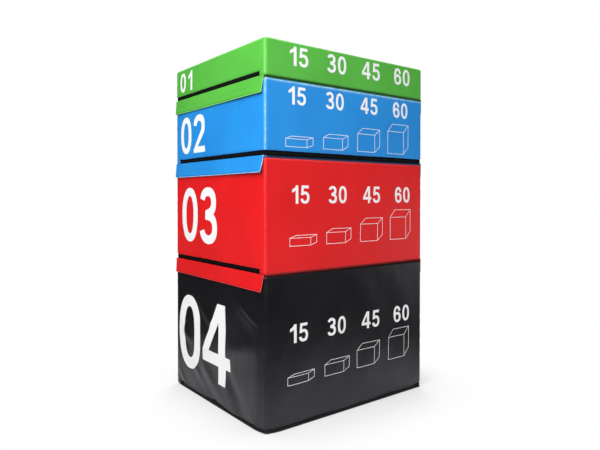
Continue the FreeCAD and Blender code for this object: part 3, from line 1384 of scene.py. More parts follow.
class StitchTool(NodeTool):
    """Thread stitches along lines on a surface."""

    def __init__(self) -> None:
        """Builds the tree."""
        number = "NodeSocketFloat"
        super().__init__("stitches", {"Pitch": number, "Length": number, "Thread": number})
        ball = self.node("GeometryNodeMeshUVSphere", inputs={"Segments": 5, "Rings": 4, "Radius": 0.5})
        thread = self.value("Thread")
        spans = {"X": self.value("Length"), "Y": thread, "Z": thread}
        size = self.node("ShaderNodeCombineXYZ", inputs=spans)
        inputs = {"Points": self.points(self.value("Pitch")), "Instance": ball,
                  "Rotation": self.turn("AUTO"), "Scale": size}
        self.end(self.node("GeometryNodeInstanceOnPoints", inputs=inputs))


class WireTool(NodeTool):
    """Bent wires along level lines that have the wires' outside on their right: zip coils and hooks."""

    def __init__(self) -> None:
        """Builds the tree."""
        vector, number, whole = "NodeSocketVector", "NodeSocketFloat", "NodeSocketInt"
        kinds = {"Pitch": number, "Wire": number, "Sides": whole}
        bends = {"Start": "Foot", "Middle": "Crest", "End": "Head"}
        super().__init__("bent_wires", {**kinds, **{name: vector for name in bends.values()}})
        bend = {place: self.value(name) for place, name in bends.items()}
        spine = self.node("GeometryNodeCurveQuadraticBezier", inputs={"Resolution": 4, **bend})
        outline = {"Resolution": self.value("Sides"), "Radius": self.value("Wire")}
        ring = self.node("GeometryNodeCurvePrimitiveCircle", inputs=outline)
        inputs = {"Curve": spine, "Profile Curve": ring, "Fill Caps": True}
        wire = self.node("GeometryNodeCurveToMesh", inputs=inputs)
        inputs = {"Points": self.points(self.value("Pitch")), "Instance": wire,
                  "Rotation": self.turn("Z")}
        self.end(self.node("GeometryNodeInstanceOnPoints", inputs=inputs))


@dataclass(frozen=True)
class Finishes:
    """Every material of the part, built once."""

    vinyl: dict[BoxName, Material]
    thread: dict[BoxName, Material]
    ink: Material
    tape: dict[BoxName, Material]
    coil: Material
    metal: Material
    hooks: Material
    loops: Material
    foam: Material

    @classmethod
    def build(cls) -> "Finishes":
        """Builds them all.

        Returns:
            The finishes.
        """
        vinyls = {
            # Each vinyl: its colour, a deeper tone for clouding, and a paler colour for worn seams and
            # painted highlights.
            BoxName.GREEN: Vinyl("vinyl_green_sheet", (0.105, 0.50, 0.060, 1), (0.090, 0.455, 0.050, 1),
                                 (0.42, 0.88, 0.32, 1)),
            BoxName.BLUE: Vinyl("vinyl_blue_sheet", (0.015, 0.296, 0.78, 1), (0.012, 0.258, 0.72, 1),
                                (0.58, 0.88, 1.0, 1), wear_and_sheen=1.0),
            BoxName.RED: Vinyl("vinyl_red_sheet", (0.81, 0.005, 0.008, 1), (0.755, 0.004, 0.006, 1),
                               (0.86, 0.20, 0.20, 1), wear_and_sheen=0.5),
            BoxName.BLACK: Vinyl("vinyl_black_sheet", (0.0072, 0.0077, 0.0098, 1),
                                 (0.0053, 0.0058, 0.0078, 1), (0.05, 0.05, 0.055, 1),
                                 roughness=0.36, gloss=0.75, wear_and_sheen=0.1, tint=(0.92, 0.90, 1.0, 1)),
        }
        threads = {name: Fuzzy(f"{name.value}_thread", vinyl.thread, vinyl.colour, 2600.0, 0.0001)
                   for name, vinyl in vinyls.items()}
        dark, grey = (0.012, 0.012, 0.013, 1), (0.035, 0.035, 0.038, 1)
        tape = WovenTape().material()
        tapes = {name: tape for name in BoxName}
        paler = WovenTape("zip_tape_grey", (0.012, 0.012, 0.0135, 1), (0.03, 0.03, 0.032, 1), gloss=0.2)
        tapes[BoxName.BLACK] = paler.material()
        foam = Fuzzy("foam_cells", (0.62, 0.61, 0.57, 1), (0.8, 0.79, 0.75, 1), 420.0, 0.0007)
        metal = Moulded("slider_metal", (0.58, 0.58, 0.6, 1), (0.7, 0.7, 0.7, 1), 0.42, metallic=1.0)
        return cls(
            {name: vinyl.material() for name, vinyl in vinyls.items()},
            {name: thread.material() for name, thread in threads.items()},
            PrintInk().material(),
            tapes,
            Moulded("zip_coil_nylon", (0.004, 0.004, 0.0045, 1), dark, 0.5, gloss=0.2).material(),
            metal.material(),
            Moulded("hook_plastic", dark, grey, 0.5).material(),
            Fuzzy("loop_pile", dark, grey, 900.0, 0.0006).material(),
            foam.material(),
        )


@dataclass
class Shop:
    """What every sub-assembly works with."""

    finishes: Finishes
    stitches: StitchTool
    wires: WireTool

    def stitch(self, name: str, lines: Iterable[Array], box: BoxName) -> Piece:
        """Sews thread of a box's colour along some lines."""
        sizes = {"Pitch": 0.0046, "Length": 0.0036, "Thread": 0.0009}
        return self.stitches.run(name, lines, self.finishes.thread[box], **sizes)


@dataclass
class FoamBlock:
    """The foam in a box, glued from layers."""

    shop: Shop
    block: Block
    layer: float = 0.05
    groove: float = 0.0006
    slope: float = 0.0012
    radius: float = 0.012
    corner: float = 0.012

    def build(self) -> Piece:
        """Makes the block as rings round a rounded rectangle, closed by two flat ends.

        Returns:
            The finished piece.
        """
        low, high = (np.array(corner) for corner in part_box(f"{self.block.name}_foam_core"))
        levels = [(low[2] + self.radius * (1 - math.sin(a)), self.radius * (1 - math.cos(a)))
                  for a in np.linspace(QUARTER, 0, 5)]
        for seam in np.arange(low[2] + self.layer, high[2] - self.layer / 2, self.layer):
            levels += [(seam - self.slope, 0.0), (seam, self.groove), (seam + self.slope, 0.0)]
        levels += [(low[2] + high[2] - height, inset) for height, inset in levels[4::-1]]
        rings = np.array([[(*point, height) for point in self.outline(high[0] - inset, high[1] - inset)]
                          for height, inset in levels])
        work = Patchwork()
        around = np.concatenate([rings, rings[:, :1]], axis=1)
        work.grid(around.transpose(1, 0, 2))
        piece = work.piece(f"{self.block.name}_foam", self.shop.finishes.foam)
        edit_mesh(piece.data, close_ends)
        settle(piece, self.block.body, [f"{self.block.name}_foam_core"])
        return piece

    def outline(self, half_x: float, half_y: float) -> Loop:
        """A rounded rectangle, counter-clockwise.

        Args:
            half_x: Half its width.
            half_y: Half its depth.

        Returns:
            Its points.
        """
        points = []
        for turn, (sx, sy) in enumerate(((1, 1), (-1, 1), (-1, -1), (1, -1))):
            for angle in np.linspace(0, QUARTER, 6) + turn * QUARTER:
                points.append((sx * (half_x - self.corner) + self.corner * math.cos(angle),
                               sy * (half_y - self.corner) + self.corner * math.sin(angle)))
        return points


@dataclass
class Cover:
    """The six sewn panels of a box."""

    shop: Shop
    block: Block
    box: BoxName
    slack: Slack
    sizes: CoverSizes = CoverSizes()
    stitch_up: float = 0.0035
    stitch_lift: float = 0.0001

    def wall(self, side: Side) -> Wall:
        """One side panel's shape."""
        return Wall(self.block, side, self.sizes, self.slack)

    def build(self, foam: Piece) -> None:
        """Cuts, shapes and dresses the panels, then sews beside the zip.

        Args:
            foam: The block that it is stretched over; not used.
        """
        allowance = 2 * (self.sizes.flange + self.sizes.seam_roll)
        for side in Side:
            wall = self.wall(side)
            flat = (2 * wall.reach + allowance, wall.top_line - wall.edge().end + allowance)
            self.sheet(side.word, wall.build())
        flat = (2 * self.block.half_width, 2 * self.block.half_depth)
        for is_top in (True, False):
            panel = LevelPanel(self.block, self.sizes, self.slack, is_top)
            self.sheet("top" if is_top else "base", panel.build())
        lines = [line for side in Side for line in self.zip_stitches(self.wall(side))]
        piece = self.shop.stitch(f"{self.block.name}_cover_stitches", lines, self.box)
        settle(piece, self.block.body)

    def sheet(self, word: str, work: Patchwork) -> None:
        """Finishes one panel.

        Args:
            word: The panel's word in names.
            work: Its shape.
        """
        piece = work.piece(f"{self.block.name}_cover_{word}", self.shop.finishes.vinyl[self.box])
        thicken(piece, self.sizes.vinyl)
        settle(piece, self.block.body, [f"{self.block.name}_{word}_panel"])

    def zip_stitches(self, wall: Wall) -> list[Array]:
        """The line of stitches above the zip on one wall.

        Args:
            wall: The wall.

        Returns:
            The line, or none where there is no zip.
        """
        if wall.side is self.block.fold_side:
            return []
        ends = [-wall.reach, wall.reach]
        if wall.tab:
            ends[0 if wall.tab < 0 else 1] = wall.zip_end
        across = np.linspace(*ends, 160)
        up = np.full_like(across, wall.zip_edge.start + self.stitch_up)
        return [wall.place(across, up, self.stitch_lift)]


@dataclass
class ZipClosure:
    """A zip round three sides of a box: two tapes with wire coils, end stops, slider and pull."""

    shop: Shop
    block: Block
    sizes: CoverSizes = CoverSizes()
    recess: float = 0.0032
    tape: float = 0.0009
    wave: float = 0.00015
    wave_length: float = 0.06
    pitch: float = 0.0021
    wire: float = 0.00045
    chain: float = 0.0028
    rise: float = -0.0018
    stop_rings: tuple[Point, ...] = ((0.0, 0.3), (0.0, 0.8), (0.0004, 1.0),
                                     (0.0028, 1.0), (0.0032, 0.8), (0.0032, 0.3))
    stop_depth: Span = (0.0002, 0.0013)
    stop_height: float = 0.0036
    eased: float = 0.00018
    eased_angle: float = math.radians(40)
    sharp_angle: float = math.radians(35)
    seed: int = 40

    @property
    def middle(self) -> float:
        """The height of the zip's line."""
        return self.block.floor + self.sizes.hem + self.sizes.opening / 2

    def path(self, depth: float, trim: float = 0.0, step: float = 0.01) -> tuple[Array, Array]:
        """The zip's way round the box, with the outside on its right.

        Args:
            depth: How far inside the walls' planes.
            trim: How much shorter at the start.
            step: Spacing along the straight runs.

        Returns:
            Points in the level plane and the ways out.
        """
        wide, deep, radius = self.block.half_width, self.block.half_depth, self.sizes.corner
        first, last = (deep - self.sizes.zip_inset(side) for side in END_WALLS[::self.block.fold])
        inner, front = wide - radius, radius - deep
        straights = (
            ((-wide, first - trim), (-wide, front), (-1.0, 0.0)),
            ((-inner, -deep), (inner, -deep), (0.0, -1.0)),
            ((wide, front), (wide, last), (1.0, 0.0)),
        )
        runs = []
        for start, stop, way in straights:
            shares = np.linspace(0, 1, max(2, round(math.dist(start, stop) / step) + 1))[:, None]
            points = np.array(start) + np.subtract(stop, start) * shares
            runs.append((points, np.tile(way, (len(points), 1))))
        for place, centre, start in ((1, -inner, math.pi), (3, inner, 1.5 * math.pi)):
            angles = np.linspace(start, start + QUARTER, 10)[1:-1]
            ways = np.column_stack([np.cos(angles), np.sin(angles)])
            runs.insert(place, (np.array((centre, front)) + radius * ways, ways))
        points, ways = (np.vstack(parts) * self.block.fold for parts in zip(*runs))
        return points - ways * depth, ways

    def build(self) -> None:
        """Makes the whole zip."""
        for row in Row:
            self.tape_piece(row)
            self.coil_piece(row)
        self.stops()
        for word in ("slider", "pull"):
            self.hardware(word)

    def tape_piece(self, row: Row) -> None:
        """One woven tape, tucked under the lip at its outer edge, with a cord along its inner edge.

        Args:
            row: The half of the zip.
        """
        points, ways = self.path(self.recess)
        heights = np.array([0.0006, 0.001, 0.0022, 0.0032, 0.0040, 0.006, 0.008, 0.0104, 0.0122])
        proud = np.array([-0.0002, 0.0001, 0.0003, 0.0001, 0.0, 0.0, 0.0001, 0.0, -0.0003])
        front = np.column_stack([proud, heights])
        back = np.column_stack([np.full_like(heights, -self.tape), heights])[::-1]
        profile = np.vstack([front, back, front[:1]])
        along = lengths(points)
        wave = self.wave * ripple(along, along * 0, self.wave_length, self.seed + row.value)
        rings = np.zeros((len(points), len(profile), 3))
        proud = profile[None, :, 0, None] + wave[:, None, None]
        rings[..., :2] = points[:, None] + ways[:, None] * proud
        rings[..., 2] = self.middle + row.value * profile[None, :, 1]
        work = Patchwork()
        cloth = np.stack(crossed(along, lengths(profile)), axis=-1)
        work.grid(rings, cloth=cloth, flip=row is Row.LOWER)
        finish = self.shop.finishes.tape[BoxName(self.block.name)]
        piece = work.piece(f"{self.block.name}_zip_tape_{row.word}", finish)
        edit_mesh(piece.data, close_ends)
        settle(piece, self.block.body, [f"{self.block.name}_zip_{row.word}_tape"])

    def coil_piece(self, row: Row) -> None:
        """One row of wire loops, half a pitch apart from the other row.

        Args:
            row: The half of the zip.
        """
        points, _ = self.path(self.recess, self.pitch / 2 if row is Row.LOWER else 0.0, 1.0)
        line = np.column_stack([points, np.full(len(points), self.middle)])
        pitch, side = self.pitch, row.value
        sizes = {
            "Pitch": pitch, "Wire": self.wire, "Sides": 5,
            "Foot": (0.0, 0.0, side * self.chain),
            "Crest": (pitch * 0.1, self.rise, side * self.chain * 0.75),
            "Head": (pitch * 0.3, self.rise * 0.45, side * -0.0004),
        }
        name = f"{self.block.name}_zip_coil_{row.word}"
        piece = self.shop.wires.run(name, [line], self.shop.finishes.coil, **sizes)
        settle(piece, self.block.body)

    def stops(self) -> None:
        """The two clips that end the chain."""
        points, ways = self.path(self.recess, step=1.0)
        work = Patchwork()
        for place, way, back in ((points[0], ways[0], 1), (points[-1], ways[-1], -1)):
            run = np.array([-way[1], way[0]]) * back
            around = np.linspace(0, TURN, 13)
            depth = self.stop_depth[0] + self.stop_depth[1] * np.cos(around)
            height = self.stop_height * np.sin(around)
            rings = []
            for share, swell in self.stop_rings:
                level = place + run * share + way * (depth * swell)[:, None]
                rings.append(np.column_stack([level, self.middle + height * swell]))
            work.grid(np.array(rings), flip=back < 0)
        piece = work.piece(f"{self.block.name}_zip_stops", self.shop.finishes.metal)
        edit_mesh(piece.data, close_outward)
        settle(piece, self.block.body)

    def hardware(self, word: str) -> None:
        """The slider or pull, its edges eased.

        Args:
            word: Which of the two.
        """
        node = f"{self.block.name}_zip_{word}"
        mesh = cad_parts[node].data.copy()
        edit_mesh(mesh, weld_points, WELD / 10)
        piece = link_piece(f"{self.block.name}_{word}", mesh, self.shop.finishes.metal)
        ease_edge = piece.modifiers.new("eased", "BEVEL")
        ease_edge.width = self.eased
        ease_edge.segments = 2
        ease_edge.limit_method = "ANGLE"
        ease_edge.angle_limit = self.eased_angle
        bake_modifiers(piece)
        piece.data.shade_smooth()
        piece.data.set_sharp_from_angle(angle=self.sharp_angle)
        settle(piece, node, [node])


@dataclass
class Flap:
    """A doubled vinyl flap that hangs from a box, with hook tape inside."""

    shop: Shop
    block: Block
    box: BoxName
    side: Side
    thickness: float = 0.0024
    taper: float = 0.005
    rounding: float = 0.004
    stitch_in: float = 0.006
    hook_start: float = 0.030
    hook_width: float = 0.030
    hook_thickness: float = 0.0012
    hook_pitch: float = 0.0034
    hook_wire: float = 0.00028
    hook_margin: float = 0.003
    web: float = 0.0006
    web_back: float = 0.0004
    root_half: float = 0.0004
    hinge_up: float = 0.007
    hinge_out: float = 0.0015
    root_up: float = 0.0012
    sway: float = 0.0009
    sway_length: float = 0.23
    flutter: float = 0.0004
    flutter_length: float = 0.07
    loose: Span = (0.55, 1.2)
    curled: Span = (-0.15, 1.0)
    pinch: float = 0.34
    pinch_width: float = 0.0016
    tug_length: float = 0.012
    sewn_top: float = 0.004
    sewn_half: float = 0.350
    first_seed: int = 60
    curl: float = 0.0

    def __post_init__(self) -> None:
        """Reads the flap's length, drop and lean from its solid."""
        self.slot = f"vinyl_{self.block.name}"
        self.node = f"{self.block.name}_{self.side.word}_flap"
        low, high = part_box(self.node)
        self.half = high.y
        hinge = self.block.half_width + self.hinge_out
        reach = max(-low.x, high.x) - hinge
        drop = self.block.floor + self.hinge_up - low.z
        thick = self.thickness / 2
        self.drop = round(math.sqrt(max(drop ** 2 + reach ** 2 - thick ** 2, 0.0)), 3)
        self.lean = math.asin(reach / math.hypot(self.drop, thick)) - math.atan2(thick, self.drop)
        self.anchor = self.side.normal * hinge + UP * (self.block.floor + self.hinge_up)
        self.down = self.side.normal * math.sin(self.lean) - UP * math.cos(self.lean)
        self.face = self.side.normal * math.cos(self.lean) + UP * math.sin(self.lean)
        self.seed = list(BoxName).index(self.box) * 4 + list(Side).index(self.side) + self.first_seed

    def place(self, across: Array, down: Array, lift: Array) -> Array:
        """Points on the flap.

        Args:
            across: Right of the middle.
            down: Below the hinge.
            lift: Out from the flap's middle sheet.

        Returns:
            Places in the frame.
        """
        share = down / self.drop
        wave = self.sway * ripple(across, down * 0.4, self.sway_length, self.seed)
        wave = wave + self.flutter * ripple(across, down, self.flutter_length, self.seed + 1)
        front = ease(-across * self.side.normal[0] / self.half, *self.curled)
        bend = self.curl * front ** 1.5 * np.clip(share, 0, None) ** 2
        bend = wave * ease(share, *self.loose) + bend
        points = self.anchor + across[..., None] * self.side.along + down[..., None] * self.down
        return points + (lift + bend)[..., None] * self.face

    def half_at(self, down: Array) -> Array:
        """Half the flap's length that far down, with its slanted ends and rounded corners.

        Args:
            down: Places below the hinge.

        Returns:
            Half lengths.
        """
        past = np.clip(down - self.drop + self.rounding, 0, self.rounding)
        nib = self.rounding - np.sqrt(np.clip(self.rounding ** 2 - past ** 2, 0, None))
        return self.half - self.taper * down / self.drop - nib

    def puff(self, across: Array, down: Array) -> Array:
        """Half the flap's thickness: rolled at the edges, pulled in along the stitches.

        Args:
            across: Places right of the middle.
            down: Places below the hinge.

        Returns:
            Half thicknesses.
        """
        border = np.minimum(self.half_at(down) - np.abs(across), self.drop - down)
        rim = np.clip(np.minimum(border, down + self.root_up), 0, None)
        roll = self.thickness / 2
        edge = roll * np.sqrt(np.clip(1 - (1 - np.clip(rim / roll, 0, 1)) ** 2, 0, 1))
        pinch = bell(border - self.stitch_in, self.pinch_width)
        tug = 0.75 + 0.25 * ripple(across, down, self.tug_length, self.seed + 2)
        return edge * (1 - self.pinch * pinch * tug)

    def build(self) -> None:
        """Makes the flap, its root at the seam, its stitches and its hook tape."""
        word = self.side.word
        ends = np.array([0, 0.0002, 0.0006, 0.0012, 0.0025, 0.0045, 0.006, 0.0075, 0.01]) / self.half
        border, step = 0.018 / self.half, 0.008 / self.half
        shares = np.concatenate([-1 + ends, spaced(-1 + border, 1 - border, step), (1 - ends)[::-1]])
        rows = np.array([-self.root_up, -0.001, -0.0005, 0.0, 0.0012, 0.004])
        lifts = [0.012, 0.0085, 0.007, 0.006, 0.005, 0.0035, 0.0018, 0.0009, 0.0003, 0.0]
        low = self.drop - np.array(lifts)
        rows = np.concatenate([rows, spaced(0.009, self.drop - 0.016, 0.006), low])
        share, down = crossed(shares, rows)
        across = share * self.half_at(np.clip(down, 0, None))
        work = Patchwork()
        # Flap edges painted paler (painted highlight on the rolled edge, with wear); the stitch channel
        # painted darker, partly dirt, partly painted shade.
        border = np.clip(np.minimum(self.half_at(down) - np.abs(across), self.drop - down), 0, None)
        rim = np.exp(-border / 0.003) - bell(border - self.stitch_in, 0.0018)
        half_thick = self.puff(across, down)
        work.grid(self.place(across, down, half_thick), rim, flip=True)
        work.grid(self.place(across, down, -half_thick), rim)
        finish = self.shop.finishes.vinyl[self.box]
        piece = work.piece(f"{self.block.name}_flap_{word}", finish, 2 * WELD)
        settle(piece, self.node, [self.node])
        flat, base = (2 * self.half, self.drop), f"{self.block.name}_cover_base"
        lines = self.stitch_lines()
        sewn = self.shop.stitch(f"{self.block.name}_flap_stitches_{word}", lines, self.box)
        settle(sewn, self.node)
        self.root()
        self.hooks()

    def stitch_lines(self) -> list[Array]:
        """Thread lines on both faces, round three edges, and across the hook tape's borders.

        Returns:
            The points of each line.
        """
        inset, top = self.stitch_in, self.sewn_top
        lower = self.drop - inset
        falls, climbs = np.linspace(top, lower, 12)[:-1], np.linspace(lower, top, 12)[1:]
        down = np.concatenate([falls, np.full(120, lower), climbs])
        end = self.half_at(down) - inset
        sweep = np.linspace(-1, 1, 120) * (self.half_at(np.array(lower)) - inset)
        across = np.concatenate([-end[:11], sweep, end[-11:]])
        lines = [self.place(across, down, way * self.puff(across, down)) for way in (1, -1)]
        middle = np.linspace(-self.sewn_half, self.sewn_half, 120)
        level = np.full_like(middle, self.hook_start + self.hook_margin)
        lines.append(self.place(middle, level, self.puff(middle, level)))
        return lines

    def root(self) -> None:
        """The strip by which the flap is sewn in, from the zip's groove out to the hinge line."""
        depths = np.array([-0.0045, -0.003, -0.001, 0.0002, 0.0008, 0.0012])
        rise = np.array([-0.0001, 0.0004, 0.0007, 0.0006, 0.0003, 0.0])
        upper = np.column_stack([depths, rise + self.root_half])
        lower = np.column_stack([depths, rise - self.root_half])[::-1]
        profile = np.vstack([upper, lower, upper[:1]])
        across = spaced(-self.half + 0.002, self.half - 0.002, 0.012)
        out = self.block.half_width + profile[:, 0]
        rings = (across[:, None, None] * self.side.along + out[None, :, None] * self.side.normal
                 + (self.block.floor + self.hinge_up + profile[:, 1])[None, :, None] * UP)
        work = Patchwork()
        work.grid(rings)
        name = f"{self.block.name}_flap_root_{self.side.word}"
        piece = work.piece(name, self.shop.finishes.vinyl[self.box], 0)
        edit_mesh(piece.data, weld_points, WELD)
        edit_mesh(piece.data, close_outward)
        settle(piece, self.block.body)

    def hooks(self) -> None:
        """The hook tape on the inner face, with its rows of hooks."""
        word = self.side.word
        node = f"{self.block.name}_{word}_hook_strip"
        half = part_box(node)[1].y
        start, stop = self.hook_start, self.hook_start + self.hook_width
        across, down = crossed(spaced(-half, half, 0.01), spaced(start, stop, 0.005))
        face, margin = -self.thickness / 2 - self.web, self.hook_margin
        work = Patchwork()
        work.grid(self.place(across, down, np.full_like(across, face)))
        piece = work.piece(f"{self.block.name}_hook_tape_{word}", self.shop.finishes.hooks)
        thicken(piece, self.web + self.web_back)
        settle(piece, self.node, [node])
        lines = []
        for row, level in enumerate(np.arange(start + margin, stop - 0.002, self.hook_pitch)):
            first = -half + margin + self.hook_pitch / 2 * (row % 2)
            line = -np.linspace(first, half - margin, 90)
            lines.append(self.place(line, np.full_like(line, level), np.full_like(line, face)))
        rise = self.web - self.hook_thickness
        sizes = {"Pitch": self.hook_pitch, "Wire": self.hook_wire, "Sides": 4,
                 "Foot": (0.0, 0.0002, 0.0), "Crest": (0.0, rise * 1.5, 0.0),
                 "Head": (0.0, rise * 0.6, -0.0009)}
        name = f"{self.block.name}_hooks_{word}"
        piece = self.shop.wires.run(name, lines, self.shop.finishes.hooks, **sizes)
        settle(piece, self.node)


@dataclass
class LoopTape:
    """Loop tape on the two end walls of a box, for the flaps of the box above."""

    shop: Shop
    cover: Cover
    box: BoxName
    thickness: float = 0.0011
    grain: Span = (0.0036, 0.0034)
    pile: Span = (0.55, 0.45)
    pile_edge: float = 0.004
    fuzz: Span = (-0.00018, 0.0001)
    backing: float = 0.9
    border: float = 0.002
    stitch_lift: float = 0.0009
    first_seed: int = 70

    def build(self) -> None:
        """Makes both strips as one brushed piece."""
        block = self.cover.block
        node = f"{block.name}_loop_strips"
        low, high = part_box(node)
        draw = np.random.default_rng(self.first_seed + list(BoxName).index(self.box))
        work, lines = Patchwork(), []
        for side in END_WALLS:
            wall = self.cover.wall(side)
            wide, tall = self.grain
            across, up = crossed(spaced(low.y, high.y, wide), spaced(low.z, high.z, tall))
            edge = np.minimum(np.minimum(high.y - np.abs(across), high.z - up), up - low.z)
            pile = self.thickness * (self.pile[0] + self.pile[1] * ease(edge, 0.0, self.pile_edge))
            pile = pile + draw.uniform(*self.fuzz, across.shape)
            base = wall.place(across, up)
            work.grid(base + side.normal * pile[..., None])
            for level in (low.z + self.border, high.z - self.border):
                run = np.linspace(low.y + self.border, high.y - self.border, 140)
                lines.append(wall.place(run, np.full_like(run, level), self.stitch_lift))
        piece = work.piece(node.replace("strips", "tape"), self.shop.finishes.loops)
        thicken(piece, self.thickness * self.backing)
        settle(piece, block.body, [node])
        sewn = self.shop.stitch(f"{block.name}_loop_stitches", lines, BoxName.BLACK)
        settle(sewn, block.body)


def oval(centre: Point, radii: Point, start: float, stop: float, power: float = 2.25) -> Loop:
    """Points along part of an oval with full shoulders.

    Args:
        centre: Its middle.
        radii: Half its width and height.
        start: First angle in degrees.
        stop: Last angle in degrees.
        power: 2 for an ellipse, more for squarer shoulders.

    Returns:
        The points.
    """
    points = []
    for angle in np.radians(np.linspace(start, stop, max(4, int(abs(stop - start) / 9)))):
        c, s = math.cos(angle), math.sin(angle)
        points.append((centre[0] + radii[0] * math.copysign(abs(c) ** (2 / power), c),
                       centre[1] + radii[1] * math.copysign(abs(s) ** (2 / power), s)))
    return points


def draw_figures(stroke: float = 0.165) -> dict[str, Figure]:
    """Draws plain narrow figures of height 1.

    Args:
        stroke: The thickness of their strokes.

    Returns:
        The width of each figure and its outer and inner loops.
    """
    t, flat = stroke, 0.93 * stroke
    low_right, high_left, ring = -168, 168, (0, 351)
    zero, two, five = (0.31, 0.5), (0.31, 0.68), (0.305, 0.335)
    high, low, bowl = (0.30, 0.735), (0.305, 0.285), (0.315, 0.315)
    tall, hollow = (0.31, 0.5), (0.31 - t, 0.5 - 0.92 * t)
    one = [(0.27, 0), (0.45, 0), (0.45, 1), (0.31, 1), (0.22, 0.88), (0.02, 0.76), (0.02, 0.60),
           (0.16, 0.655), (0.27, 0.73)]
    foot = [(0.225, 0.155), (0.62, 0.155), (0.62, 0), (0, 0), (0, 0.09)]
    swan = oval(two, (0.31, 0.32), 172, -28) + foot + oval(two, (0.31 - t, 0.32 - t), -28, 172)
    three = oval(high, (0.285, 0.265), high_left, -48) + oval(low, (0.315, 0.285), 58, low_right)
    three += oval(low, (0.315 - t, 0.285 - flat), low_right, 76) + [(0.205, 0.432), (0.205, 0.585)]
    three += oval(high, (0.285 - t, 0.265 - flat), -76, high_left)
    four = [(0.41, 0), (0.58, 0), (0.58, 0.215), (0.69, 0.215), (0.69, 0.37), (0.58, 0.37), (0.58, 1.0),
            (0.39, 1.0), (0, 0.36), (0, 0.215), (0.41, 0.215)]
    hook = [(0.085, 1.0), (0.575, 1.0), (0.575, 0.845), (0.225, 0.845), (0.206, 0.655)]
    hook += oval(five, (0.315, 0.335), 104, low_right)
    hook += oval(five, (0.315 - t, 0.335 - flat), low_right, 132) + [(0.035, 0.47)]
    six = oval(zero, tall, 22, 268) + oval(bowl, (0.305, 0.315), -88, 118) + oval(zero, hollow, 166, 22)
    return {
        "0": (0.62, [oval(zero, tall, *ring), oval(zero, hollow, *ring)]),
        "1": (0.46, [one]),
        "2": (0.62, [swan]),
        "3": (0.62, [three]),
        "4": (0.69, [four, [(0.165, 0.37), (0.41, 0.37), (0.41, 0.765)]]),
        "5": (0.62, [hook]),
        "6": (0.62, [six, oval(bowl, (0.305 - t, 0.315 - 0.9 * t), *ring)]),
    }


FIGURES = draw_figures()


def shrink(corners: Loop, inset: float) -> Loop:
    """Moves the edges of a counter-clockwise convex outline inwards.

    Args:
        corners: The outline.
        inset: How far in; below 0 is out.

    Returns:
        The new corners.
    """
    lines = []
    for first, last in zip(corners, corners[1:] + corners[:1]):
        run = np.subtract(last, first) / math.dist(first, last)
        normal = np.array([-run[1], run[0]])
        lines.append((normal, normal @ first + inset))
    return [tuple(np.linalg.solve(np.array([a[0], b[0]]), np.array([a[1], b[1]])))
            for a, b in zip(lines[-1:] + lines[:-1], lines)]


def box_figure(width: float, height: float, line: float) -> list[Loop]:
    """A line drawing of a plain box, seen from its left above.

    Args:
        width: Its whole width.
        height: Its whole height.
        line: The thickness of its lines.

    Returns:
        The outline and the three open faces.
    """
    deep, rise = 0.23 * width, 0.25 * height
    front, top = width - deep, height - rise
    a, b, c, d = (0.0, 0.0), (front, 0.0), (front, top), (0.0, top)
    e, f, g = (width, rise), (width, height), (deep, height)
    faces = ([a, b, c, d], [b, e, f, c], [d, c, f, g])
    return [shrink([a, b, e, f, g, d], -line / 2)] + [shrink(face, line / 2) for face in faces]


@dataclass(frozen=True)
class PrintLayout:
    """Where the white marks are, in metres right of a wall's middle and above the box's floor."""

    number: str
    number_low: float
    number_height: float
    number_starts: Point
    sizes_low: float
    sizes_height: float
    sizes_middles: tuple[float, ...]
    figures_low: float = 0.0
    figures_starts: tuple[float, ...] = ()


